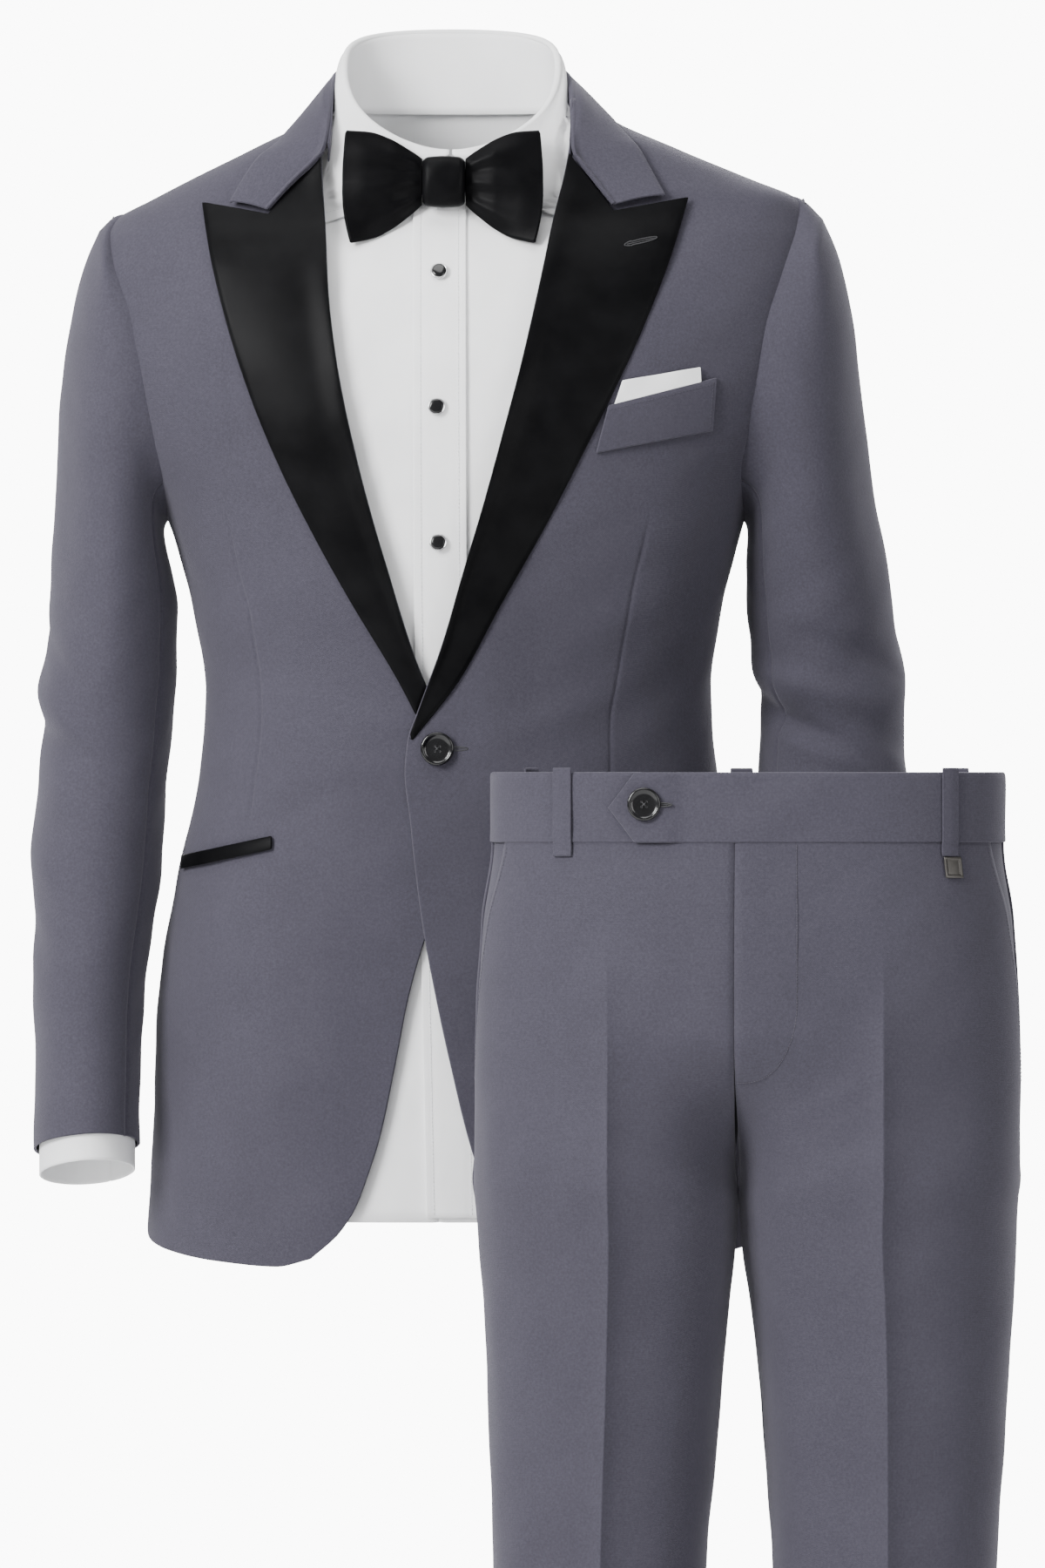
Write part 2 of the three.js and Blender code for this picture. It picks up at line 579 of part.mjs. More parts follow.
// Outer points of a jacket back, from the side round to the centre back seam.
function jacketBack(side, columns) {
  const sign = side === "left" ? 1 : -1;
  return panelRows(side, -6, BACK_HEM, 9).map((row) => {
    const start = sign * (sideAngle(side, row.side, false) + SIDE_GAP);
    return range(columns).map((u) => {
      return onTorso(lerp(start, sign * 179.85, u), lerp(row.middle, row.side, (1 - u) ** 2));
    });
  });
}
add("jacket_back_right", wall(jacketBack("right", 7), JACKET_CLOTH, JACKET_CORE), "wool");
add("jacket_back_left", wall(jacketBack("left", 7), JACKET_CLOTH, JACKET_CORE), "wool");

// Outer points of a satin lapel, rolled soft at its inner edge and lying on the jacket front.
function lapel(side, rows, columns) {
  const { rollX, rollZ, notchX, notchZ, notchAt, tipZ } = LAPEL_TOP[side];
  const foot = LAPEL_FOOT[side];
  const outer = curve(side === "left" ? LEFT_LAPEL : RIGHT_LAPEL, "z", "x");
  const tipX = outer(tipZ);
  return range(rows).map((s) => {
    const innerZ = lerp(foot.inner, rollZ, s);
    const outerZ = lerp(foot.outer, tipZ, s);
    const innerX = edges[side](innerZ);
    const outerX = outer(outerZ);
    const bend = s ** 7;
    return range(columns).map((u) => {
      const before = u < notchAt;
      const share = before ? u / notchAt : (u - notchAt) / (1 - notchAt);
      const topX = before ? lerp(rollX, notchX, share) : lerp(notchX, tipX, share);
      const topZ = before ? lerp(rollZ, notchZ, share) : lerp(notchZ, tipZ, share);
      const straightX = lerp(edges[side](rollZ), tipX, u);
      const x = lerp(innerX, outerX, u) + bend * (topX - straightX);
      const z = lerp(innerZ, outerZ, u) + bend * (topZ - lerp(rollZ, tipZ, u));
      const roll = 3.2 * Math.exp(-((u / 0.16) ** 2)) + 1.2 * Math.sin(Math.PI * u);
      const base = side === "left" ? lap(x) : 0;
      const proud = 2.6 * smooth((z + 160) / 70);
      return onFront(x, z, base + LAPEL_LIFT + proud + roll * smooth(s * 4));
    });
  });
}
add("lapel_right", wall(lapel("right", 15, 8), SATIN, JACKET_CORE), "satin");
add("lapel_left", wall(lapel("left", 15, 8), SATIN, JACKET_CORE), "satin");

// A point pushed out, level, until it stands clear of the torso's form by `out`.
function clearOf(p, out) {
  const half = p.x < 0 ? torso.right(p.z) : torso.left(p.z);
  const depth = p.y < 0 ? torso.front(p.z) : torso.back(p.z);
  const angle = (Math.atan2(p.x / half, -p.y / depth) * 180) / Math.PI;
  const need = onTorso(angle, p.z, out);
  return Math.hypot(p.x, p.y) < Math.hypot(need.x, need.y) ? need : p;
}

const outward = (p) => point(p.x, p.y, 0).normalize();
const fall = curves(COLLAR_FALL, "index");
const foldPoint = (i) => point(fall.innerX(i), fall.innerY(i), fall.innerZ(i));
const fallEdge = (i) => point(fall.outerX(i), fall.outerY(i), fall.outerZ(i));

const collarFall = range(29).map((t) =>
  range(4).map((u) => {
    const p = foldPoint(14 * t).lerp(fallEdge(14 * t), u);
    const belly = Math.sin(Math.PI * u);
    p.addScaledVector(outward(p), 1.6 * belly).add(point(0, 0, 1.2 * belly));
    return clearOf(p, COLLAR_THICK + 3);
  }),
);
add("jacket_collar_fall", wall(collarFall, COLLAR_THICK, point(0, 0, -60)), "wool");

// The collar's stand: inside the fall, from its fold down to the neck seam.
const collarStand = range(15).map((t) => {
  const fold = foldPoint(lerp(3.6, 10.4, t));
  const top = fold.clone().addScaledVector(outward(fold), -2.8).add(point(0, 0, -0.6));
  const foot = clearOf(point(top.x, top.y, -5), -2.5).setZ(STAND_FOOT);
  return range(3).map((u) => top.clone().lerp(foot, u));
});
add("jacket_collar_stand", wall(collarStand, STAND_THICK, point(0, 0, 0)), "wool");

// Displacement of a sleeve's surface by its folds at an angle and height.
function foldDepth(folds, angle, z) {
  return folds.reduce((sum, fold) => {
    const round = ((angle - fold.at + 540) % 360) - 180;
    const along = z - fold.z - fold.rise * (round / fold.reach);
    return sum + fold.depth * Math.exp(-((round / fold.reach) ** 2) - (along / fold.width) ** 2);
  }, 0);
}

const numbered = (table) => table.map((row, index) => ({ ...row, index: index + 1 }));
const sleeveCurves = {
  left: curves(numbered(SLEEVE_LEFT), "index"),
  right: curves(numbered(SLEEVE_RIGHT), "index"),
};

// A point of a sleeve `step` rings down the arm, 0 at the armhole; angle 0 is its outer line
// and 90 its front. `drop` moves it on down past the last ring.
function sleevePoint(side, step, angle, out = 0, drop = 0) {
  const row = sleeveCurves[side];
  const i = Math.max(step, 1);
  const outer = point(row.outerX(i), 0, row.outerZ(i));
  const inner = point(row.innerX(i), 0, row.innerZ(i));
  const half = outer.clone().sub(inner).multiplyScalar(0.5);
  const p = outer.clone().add(inner).multiplyScalar(0.5);
  const table = side === "left" ? FOLDS_LEFT : FOLDS_RIGHT;
  const folds = foldDepth(table, angle, p.z) * smooth(step / 3);
  const deep = row.depth(i) + out;
  const sine = Math.sin(radians(angle));
  p.addScaledVector(half, (1 + (out + folds) / half.length()) * Math.cos(radians(angle)));
  p.y = row.midY(i) - (deep + folds) * sine;
  p.z += row.slant(i) * deep * sine - drop;
  if (step >= 1) return p;
  const start = armhole(side, angle);
  const away = 0.6 + 1.2 * Math.max(0, Math.cos(radians(angle))) ** 2;
  start.x += side === "left" ? away : -away;
  return start.lerp(p, step);
}

// Shares of a row from `before` its start to `after` its end, with one guide point at each side.
const guided = (columns) => range(columns + 2).map((t) => (t * (columns + 1) - 1) / (columns - 1));

// A part of a sleeve as a wall: rows run down the arm, columns round it.
function sleevePart(side, from, to, columns) {
  const steps = [0, ...range(17).map((t) => 1 + 13 * t)];
  const grid = steps.map((step) =>
    guided(columns).map((u) => sleevePoint(side, step, lerp(from, to, u))),
  );
  return wall(grid, SLEEVE_CLOTH, point(SLEEVE_CORE[side], 0, -380), true);
}
for (const side of ["right", "left"]) {
  const top = sleevePart(side, TOP_SLEEVE.from, TOP_SLEEVE.to, 13);
  const under = sleevePart(side, UNDER_SLEEVE.from, UNDER_SLEEVE.to, 7);
  add(`sleeve_${side}_top`, top, "wool");
  add(`sleeve_${side}_under`, under, "wool");
}

// A shirt cuff: a tube inside the sleeve's end, open along a narrow slit at the back.
function cuff(side) {
  const row = (step, drop) =>
    range(17).map((u) => sleevePoint(side, step, lerp(CUFF.from, CUFF.to, u), -CUFF.inset, drop));
  const grid = [...CUFF.steps.map((step) => row(step, 0)), row(CUFF.steps.at(-1), CUFF.drop)];
  return wall(grid, CUFF_CLOTH, point(CUFF_CORE[side], -35, -670));
}
add("shirt_cuff_right", cuff("right"), "shirt");
add("shirt_cuff_left", cuff("left"), "shirt");

// The shirt's body lies inside the jacket, and its neck seam is a dip round the neck.
const shirtInset = (z) => SHIRT_INSET + 5 * smooth((z + 125) / 50);
const onShirt = (angle, z, out = 0) => onTorso(angle, z, out - shirtInset(z));
const onShirtFront = (x, z, out = 0) => onFront(x, z, out - shirtInset(z));

// The neck seam round the shirt: it dips from the sides to the front.
function neckSeam(angle, out = 0) {
  const front = Math.max(0, Math.cos(radians(angle)));
  const z = NECK_SIDE - 33 * front - 28 * front * front;
  if (front === 0) return onShirt(angle, z, out - 2.5);
  return onShirtFront(NECK_HALF * Math.sin(radians(angle)), z, out);
}

// The x at which a shirt front starts at height z: the neck seam, then the centre front.
function shirtStart(side, z) {
  const sign = side === "left" ? 1 : -1;
  const front = (Math.sqrt(33 * 33 + 112 * (NECK_SIDE - Math.max(z, -74))) - 33) / 56;
  const reach = NECK_HALF * Math.sqrt(Math.max(0, 1 - front * front));
  return CENTRE_FRONT * smooth((-20 - z) / 54) + sign * (reach + 0.3);
}

function shirtFront(side) {
  const sign = side === "left" ? 1 : -1;
  const neck = [SHIRT_TOP, -27, -38, -50, -62, -70];
  const body = range(11).map((t) => lerp(-76, SHIRT_HEM, t ** 1.2));
  return [...neck, ...body].map((z) => {
    const start = angleAt(shirtStart(side, z), z, -shirtInset(z));
    return range(7).map((u) => onShirt(lerp(start, sign * 89.8, u), z));
  });
}
const SHIRT_CORE = point(0, 0, -400);
add("shirt_front_right", wall(shirtFront("right"), SHIRT_CLOTH, SHIRT_CORE), "shirt");
add("shirt_front_left", wall(shirtFront("left"), SHIRT_CLOTH, SHIRT_CORE), "shirt");
const backShoulder = [SHIRT_TOP, -38, -58, -80, -105];
const backBody = range(10).map((t) => lerp(-150, SHIRT_HEM, t));
const shirtBack = [...backShoulder, ...backBody].map((z) =>
  range(11).map((u) => onShirt(lerp(90.3, 269.7, u), z)),
);
add("shirt_back", wall(shirtBack, SHIRT_CLOTH, SHIRT_CORE), "shirt");

// The buttoned front: a placket strip over the centre, with three studs.
const placketEdge = curves(PLACKET, "z");
const placket = range(16).map((t) => {
  const z = lerp(-79, SHIRT_HEM + 3, t);
  const [from, to] = [placketEdge.from(z), placketEdge.to(z)];
  return range(4).map((u) => onShirtFront(lerp(from, to, u), z, 2.6));
});
add("shirt_placket", wall(placket, PLACKET_CLOTH, SHIRT_CORE), "shirt");

// A turned piece round an axis out of the front: rings of `sides` points at radius and height.
function turned(centre, tilt, profile, sides) {
  const axis = point(0, -1, tilt).normalize();
  const across = point(1, 0, 0);
  const up = axis.clone().cross(across);
  const rings = profile.map(({ radius, height }) =>
    circle(sides).map((t) => {
      const p = centre.clone().addScaledVector(axis, height);
      p.addScaledVector(across, radius * Math.cos(2 * Math.PI * t));
      return p.addScaledVector(up, radius * Math.sin(2 * Math.PI * t));
    }),
  );
  return loft(rings);
}
STUDS.forEach(({ x, z, tilt }, i) => {
  add(`stud_${i + 1}`, turned(onShirtFront(x, z, 3.5), tilt, STUD_PROFILE, 14), "button");
});

// The shirt's collar. Its fold is an oval that dips at the front; the stand runs from the fold
// down to the neck seam, and the leaf turns over it down to the collar's points.
function shirtFold(angle, out = 0) {
  const side = Math.cos(radians(angle));
  const { halfWidth, front, back } = FOLD_RING;
  const p = ringPoint(angle, 0, halfWidth + out, front + out, back + out);
  return p.setZ(15 - 42.5 * side - 16.5 * side * side);
}
const shirtStand = range(25).map((t) => {
  const angle = lerp(5, 355, t);
  const seam = neckSeam(angle, -3).add(point(0, 0, 2.4));
  return range(3).map((u) => shirtFold(angle).lerp(seam, u));
});
add("shirt_collar_stand", wall(shirtStand, SHIRT_CLOTH, point(0, 0, -20)), "shirt");

const leafEdge = curves(LEAF_EDGE, "at");
const leafReturn = LEAF_ROWS.slice(0, -1).reverse();
const leafRows = [...LEAF_ROWS, ...leafReturn.map((angle) => 360 - angle)];
const shirtLeaf = leafRows.map((angle) => {
  const at = Math.min(angle, 360 - angle);
  const edge = point(leafEdge.x(at) * (angle > 180 ? -1 : 1), leafEdge.y(at), leafEdge.z(at));
  const fold = shirtFold(angle, 2.8).add(point(0, 0, 0.8));
  return [0, 0.1, 0.35, 0.68, 1].map((u) => {
    const p = fold.clone().lerp(edge, u);
    p.addScaledVector(outward(p), 1.6 * Math.sin(Math.PI * u ** 0.6));
    return clearOf(p, 3.6 - shirtInset(p.z));
  });
});
add("shirt_collar_fall", wall(shirtLeaf, SHIRT_CLOTH, point(0, 0, -40)), "shirt");

// A wing of the bow tie, from the knot out to its end.
const wing = curves(BOW_WING, "share");
function bowWing(side) {
  const sign = side === "left" ? 1 : -1;
  return range(9).map((u) =>
    range(9).map((t) => {
      const v = lerp(1, -1, t);
      const end = BOW_REACH[side] + (v > 0 ? 1.5 : -2.5) * Math.abs(v) * u;
      const fold = 1.8 * Math.cos(3 * Math.PI * v) * (1 - u) * smooth(u * 5);
      const x = BOW.x + sign * lerp(BOW.start, end, u);
      const y = BOW.y - wing.swell(u) * (1 - 0.55 * v * v) - fold;
      const z = BOW.z + wing.half(u) * v - 3 * u;
      return point(x, y - BOW.tilt * Math.max(0, BOW.z - z) * u, z);
    }),
  );
}
add("bow_wing_right", wall(bowWing("right"), BOW.thick, point(-35, 0, -64)), "satin");
add("bow_wing_left", wall(bowWing("left"), BOW.thick, point(30, 0, -64)), "satin");

// The knot: a rounded block that stands in front of the wings' inner ends.
const knot = curves(KNOT, "share");
const knotRings = range(9).map((t) =>
  circle(16).map((turn) => {
    const sine = Math.sin(2 * Math.PI * turn);
    const x = BOW.x + KNOT_WIDTH * (t - 0.5);
    const deep = sine > 0 ? knot.front(t) : 2.2;
    const y = BOW.y - 4.5 - deep * Math.sign(sine) * Math.abs(sine) ** 0.6;
    return point(x, y, BOW.z + knot.half(t) * Math.cos(2 * Math.PI * turn));
  }),
);
add("bow_knot", loft(knotRings), "satin");

// A patch that lies on a front panel, between its top edge and its lower edge.
function patch(corners, thickness, lift, columns = 5) {
  const [topFrom, topTo, footFrom, footTo] = corners;
  const rows = range(3).map((v) =>
    range(columns).map((u) => {
      const x = lerp(lerp(topFrom[0], topTo[0], u), lerp(footFrom[0], footTo[0], u), v);
      const z = lerp(lerp(topFrom[1], topTo[1], u), lerp(footFrom[1], footTo[1], u), v);
      return onFront(x, z, lift + thickness);
    }),
  );
  return wall(rows, thickness, JACKET_CORE);
}
add("breast_welt", patch(WELT, 2, 0.7), "wool");
add("pocket_square", patch(SQUARE, 1.4, 0.9), "shirt");
add("hip_jet_left", patch(JET_LEFT, 1.6, 1.4, 6), "satin");
add("hip_jet_right", patch(JET_RIGHT, 1.6, 1.4, 6), "satin");

const jacketButton = onFront(JACKET_BUTTON.x, JACKET_BUTTON.z, LAP_LIFT + 0.4);
add("jacket_button", turned(jacketButton, 0, JACKET_BUTTON_PROFILE, 20), "button");

// The trousers, in their own frame: x from their middle, z down from the top of the waistband.
const hips = curves(HIPS, "z");
const legs = { left: curves(LEG_LEFT, "z"), right: curves(LEG_RIGHT, "z") };

function onHips(angle, z, out = 0) {
  return ringPoint(angle, z, hips.halfWidth(z) + out, hips.front(z) + out, hips.back(z) + out);
}

function onLeg(side, angle, z, out = 0) {
  const leg = legs[side];
  const half = Math.abs(leg.outer(z) - leg.inner(z)) / 2 + out;
  const p = ringPoint(angle, z, half, leg.front(z) + out, leg.back(z) + out);
  return p.add(point((leg.outer(z) + leg.inner(z)) / 2, leg.midY(z), 0));
}

// A point of the trousers: share 0 is the middle seam or inseam, 1 the side seam.
function onTrousers(side, share, z, back, out = 0) {
  const sign = side === "left" ? 1 : -1;
  const turn = back ? -1 : 1;
  const middle = back ? 180 : 0;
  const offset = back ? 0 : FLY_TURN * (1 - share);
  const hip = onHips(middle + sign * turn * lerp(0.12, 89.7, share) + offset, z, out);
  const legAngle = middle + sign * turn * lerp(-89.6, 89.6, share);
  const leg = onLeg(side, legAngle, z, out);
  const p = hip.lerp(leg, smooth((-150 - z) / 105));
  const creaseX = (legs[side].outer(z) + legs[side].inner(z)) / 2;
  const ridge = CREASE.depth * Math.exp(-(((p.x - creaseX) / CREASE.width) ** 2));
  p.y += (back ? 1 : -1) * ridge * smooth((CREASE.from - z) / (CREASE.from - CREASE.full));
  return p;
}

// The share of a row at which the crease lies.
function creaseShare(side, z, back) {
  const creaseX = (legs[side].outer(z) + legs[side].inner(z)) / 2;
  let low = 0;
  let high = 1;
  for (let i = 0; i < 30; i += 1) {
    const mid = (low + high) / 2;
    if (Math.abs(onTrousers(side, mid, z, back).x) < Math.abs(creaseX)) low = mid;
    else high = mid;
  }
  return (low + high) / 2;
}

// Where a trouser front ends at its side: the slant pocket's mouth, then the side seam.
function pocketShare(z) {
  const t = clamp((-WAISTBAND_HEIGHT - z) / (-POCKET_SLANT.foot - WAISTBAND_HEIGHT), 0, 1);
  return t < 1 ? lerp(POCKET_SLANT.topAngle / 90, 0.995, t) : 1;
}

// A panel of the trousers, from the middle seam and inseam round to the side.
function trouserPart(side, back) {
  const foot = back ? TROUSER_HEM.back : TROUSER_HEM.front;
  const below = circle(4).map((t) => lerp(TROUSER_ROWS.at(-1), foot, t));
  const rows = [...TROUSER_ROWS, ...below].map((z) => {
    const crease = creaseShare(side, z, back);
    const end = back ? 1 : pocketShare(z);
    const shares = [0, 0.4, 0.78, 1].map((t) => t * crease);
    shares.push(...[0.25, 0.6, 1].map((t) => lerp(crease, end, t)));
    return [-0.04, ...shares, end + 0.04].map((share) => onTrousers(side, share, z, back));
  });
  return wall(rows, TROUSER_CLOTH, point(side === "left" ? 85 : -85, 10, -500), true);
}
for (const side of ["right", "left"]) {
  add(`trouser_front_${side}`, trouserPart(side, false), "wool", trousers);
  add(`trouser_back_${side}`, trouserPart(side, true), "wool", trousers);
  const facing = range(6).map((t) => {
    const z = lerp(POCKET_FACING.top, POCKET_FACING.foot, t);
    const start = pocketShare(z) - 0.09;
    return range(4).map((u) => {
      return onTrousers(side, lerp(start, 0.98, u), z, false, -POCKET_FACING.inset);
    });
  });
  const facingWall = wall(facing, FACING_CLOTH, point(0, 10, -130));
  add(`pocket_facing_${side}`, facingWall, "wool", trousers);
}

// The angle round the waist at which the waistband's front has the given x.
function bandAngle(x, out) {
  return (Math.asin(clamp(x / (hips.halfWidth(-20) + out), -1, 1)) * 180) / Math.PI / 1.045;
}

// The waistband in two halves: the wearer's left one ends in a pointed tab over the right one.
const WAIST_CORE = point(0, 0, -WAISTBAND_HEIGHT / 2);
const bandLeft = range(5).map((v) => {
  const z = lerp(0, -WAISTBAND_HEIGHT, v);
  const start = bandAngle(lerp(TAB.tip, TAB.corner, Math.abs(2 * v - 1)), BAND_OUT);
  return range(19).map((u) => {
    const angle = lerp(start, 179.8, u ** 1.25);
    const p = onHips(angle, z, BAND_OUT);
    const lift = TAB.lift * smooth((-40 - p.x) / 18) * (p.y < 0 ? 1 : 0);
    return lift > 0 ? onHips(angle, z, BAND_OUT + lift) : p;
  });
});
add("waistband_left", wall(bandLeft, BAND_THICK, WAIST_CORE), "wool", trousers);
const bandRight = range(3).map((v) =>
  range(13).map((u) => onHips(lerp(-24, -179.8, u), lerp(0, -WAISTBAND_HEIGHT, v), BAND_OUT)),
);
add("waistband_right", wall(bandRight, BAND_THICK, WAIST_CORE), "wool", trousers);

// The belt loops stand over the waistband and come down onto the trousers.
BELT_LOOPS.forEach((at, i) => {
  const reach = (LOOP.width / 2 / 140) * (180 / Math.PI);
  const loop = LOOP.heights.map((z) => {
    const out = z < -44.5 ? 2.3 : BAND_OUT + 2;
    return [-1, 1].map((end) => onHips(at + end * reach, Math.min(z, 0), out).setZ(z));
  });
  add(`belt_loop_${i + 1}`, wall(loop, LOOP_THICK, WAIST_CORE), "wool", trousers);
});
const loopEnd = LOOP_END.heights.map((z) =>
  [-1, 0, 1].map((end) => onHips(LOOP_END.at + end * LOOP_END.reach, z, LOOP_END.out)),
);
add("loop_end", wall(loopEnd, LOOP_END.thick, point(0, 0, -60)), "metal", trousers);

const buttonAngle = bandAngle(WAIST_BUTTON.x, 4);
const waistButton = onHips(buttonAngle, WAIST_BUTTON.z, BAND_OUT + TAB.lift + 0.4);
const waistButtonSolid = turned(waistButton, 0, WAIST_BUTTON_PROFILE, 16);
add("trouser_button", waistButtonSolid, "button", trousers);

export default tuxedo;
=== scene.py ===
import math

import bmesh
import bpy
import numpy as np
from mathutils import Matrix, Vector


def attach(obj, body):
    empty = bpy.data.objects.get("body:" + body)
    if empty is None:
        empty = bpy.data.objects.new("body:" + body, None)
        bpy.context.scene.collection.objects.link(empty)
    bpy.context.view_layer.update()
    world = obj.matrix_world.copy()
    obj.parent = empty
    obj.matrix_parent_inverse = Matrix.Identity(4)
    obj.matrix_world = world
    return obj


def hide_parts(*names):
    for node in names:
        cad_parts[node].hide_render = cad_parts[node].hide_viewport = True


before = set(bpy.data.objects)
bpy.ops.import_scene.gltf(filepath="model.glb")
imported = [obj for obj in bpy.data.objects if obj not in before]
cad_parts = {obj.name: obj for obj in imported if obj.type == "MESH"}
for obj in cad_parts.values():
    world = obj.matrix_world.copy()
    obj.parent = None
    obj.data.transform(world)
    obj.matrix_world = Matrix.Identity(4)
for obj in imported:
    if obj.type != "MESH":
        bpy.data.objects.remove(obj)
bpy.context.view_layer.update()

# Walls of cloth in the scene.
BODY_WALL = 2.2
SLEEVE_WALL = 2.0
LAPEL_WALL = 1.8
COLLAR_WALL = 2.0
STAND_WALL = 1.0
SHIRT_WALL = 1.1
LEAF_WALL = 1.3
CUFF_WALL = 1.5
TROUSER_WALL = 1.5
BAND_WALL = 2.6

SHIRT_INSET = 8
CUFF_INSET = 3.6
CUFF_SHOWS = 17
SHOULDER_TIP = {"right": -86, "left": -74}
UNDERARM = -282
ARMHOLE_SPREAD = 33.5
LAP_LIFT = 3.4
LAPEL_LIFT = 2.7
BOXINESS = 0.06
CENTRE_FRONT = -7.5
SHIRT_HEM = -747
TROUSER_AT = np.array([193, -229.6, -453])
WAISTBAND_HEIGHT = 44
SIDES = ("right", "left")
SIGN = {"right": -1, "left": 1}
UP = np.array([0, 0, 1])


def columns(names, rows):
    return dict(zip(names.split(), np.array(rows, float).T))


TORSO = columns("z right left front back", [
    (12, 70, 70, 49, 60), (0, 80, 82, 52, 64), (-20, 95, 106, 54, 70), (-40, 132, 151, 57, 76),
    (-60, 172, 199, 61, 84), (-74, 199, 231, 66, 90), (-86, 222, 237, 72, 95),
    (-100, 234, 240, 82, 100),
    (-125, 240, 241, 97, 106), (-160, 240, 238, 111, 112), (-195, 233, 230, 119, 114),
    (-230, 218, 216, 122, 112), (-260, 200, 201, 122, 108), (-282, 189, 195, 121, 105),
    (-340, 172, 180, 117, 97), (-400, 163, 172, 112, 91), (-450, 166, 176, 112, 92),
    (-520, 181, 187, 115, 102), (-600, 194, 198, 118, 114), (-700, 198, 203, 118, 120),
    (-780, 202, 206, 117, 121),
])
EDGE = {
    "right": columns("z x", [
        (-6, -79), (-25, -83), (-45, -86), (-92, -83), (-138, -80.5), (-184, -75), (-230, -66),
        (-276, -54.6), (-322, -41), (-368, -27), (-398, -15), (-425, 2), (-450, 10), (-490, 9),
        (-525, -2), (-555, -15), (-598, -27.6), (-644, -36.8), (-690, -46.6), (-713, -53.5),
        (-736, -62), (-755, -74), (-771, -92),
    ]),
    "left": columns("z x", [
        (-6, 80), (-25, 80), (-44, 78), (-92, 67), (-138, 57.5), (-184, 47), (-230, 35),
        (-276, 22.4), (-322, 8.6), (-368, -4.6), (-414, -21), (-432, -27), (-453, -28.7),
        (-484, -25.3), (-513, -22.4), (-555, -17), (-598, -9.2), (-644, 0.6), (-690, 11.5),
        (-713, 18.5), (-736, 27), (-755, 39), (-771, 57),
    ]),
}
HEM = columns("share z", [(0, -771), (0.1, -776), (0.3, -773), (0.6, -766), (0.88, -758), (1, -750)])
BACK_HEM = -752
FRONT_FOOT = -771
LAPEL_EDGE = {
    "right": columns("z x", [
        (-430, -16), (-416, -22), (-391, -35), (-345, -63), (-299, -89), (-253, -112), (-207, -131),
        (-161, -146), (-115, -157.5), (-76.5, -164),
    ]),
    "left": columns("z x", [
        (-431, -25), (-391, 6.3), (-345, 32), (-299, 58), (-253, 82), (-207, 105),
        (-161, 126), (-115, 143.8), (-73.6, 156.4),
    ]),
}
LAPEL_TOP = {
    "right": dict(rollX=-86, rollZ=-46, notchX=-120, notchZ=-85, notchAt=0.54, foot=-396,
                  outerFoot=-414, tipZ=-76.5),
    "left": dict(rollX=78, rollZ=-45, notchX=107, notchZ=-83, notchAt=0.37, foot=-428,
                 outerFoot=-431, tipZ=-73.6),
}
FALL_COUNT = 14
FALL_CLEAR = 2.8
FALL_CLEAR_AT_FOLD = 5.4
FALL_DROP = 9
STAND_SPAN = (2.3, 11.7)
COLLAR_FALL = columns("index innerX innerY innerZ outerX outerY outerZ", [
    (0, -120.5, -69, -81, -146, -60, -76), (1, -103, -64, -61.5, -137, -52, -60),
    (2, -84.5, -60, -42, -126, -42, -43), (3, -82, -42, -19, -114, -27, -27),
    (4, -81.5, -10, 2, -103, 0, -14), (5, -78, 29, 14, -96, 42, -17),
    (6, -52, 61, 22, -64, 80, -20), (7, 0, 71, 26, 0, 92, -22), (8, 52, 61, 22, 64, 80, -20),
    (9, 78, 29, 14, 96, 42, -16), (10, 81.5, -10, 3, 104, 0, -11), (11, 82.5, -42, -18, 114, -27, -22),
    (12, 81, -60, -41, 123, -42, -37), (13, 93, -64, -60, 132, -52, -54),
    (14, 107, -69, -78, 141, -62, -71.5),
])
SLEEVE_END = 14
SLEEVE_NAMES = "outerX outerZ innerX innerZ midY depth slant"
SLEEVE = {
    "right": columns(SLEEVE_NAMES, [
        (-233, -94, -191, -288, 0, 74, 0), (-243, -118, -190.5, -293, 1, 74, 0),
        (-252, -155, -189.5, -300, 2, 73, 0), (-259, -205, -187.5, -309, 3, 71, 0),
        (-262, -262, -184.5, -322, 4, 68, 0), (-265, -318, -181, -345, 5, 65, 0),
        (-269, -372, -181, -382, 6, 62, 0), (-271, -414, -184, -416, 6, 60, 0.02),
        (-274, -460, -188, -460, 0, 58, 0.1), (-276.5, -510, -191, -510, -9, 56, 0.15),
        (-276.5, -555, -197, -555, -17, 54, 0.17), (-276, -600, -202.5, -600, -26, 52, 0.19),
        (-275, -650, -204.5, -650, -36, 50, 0.2), (-275, -701, -204.5, -696, -46, 49, 0.2),
    ]),
    "left": columns(SLEEVE_NAMES, [
        (246, -86, 197, -288, 0, 74, 0), (257, -112, 196.5, -294, 1, 74, 0),
        (267, -158, 196, -302, 2, 73, 0), (273, -207, 195.5, -313, 3, 71, 0),
        (280, -262, 195.5, -328, 4, 68, 0), (290, -318, 197, -348, 5, 65, 0),
        (295, -368, 200, -382, 7, 62, 0), (300, -412, 205, -418, 7, 60, 0.02),
        (300, -455, 203, -455, 2, 58, 0.1), (295, -508, 206, -508, -6, 56, 0.13),
        (290, -555, 208, -555, -13, 54, 0.15), (286, -600, 209, -600, -20, 52, 0.16),
        (282, -650, 209, -650, -28, 50, 0.16), (279, -698, 208, -693, -36, 49, 0.16),
    ]),
}
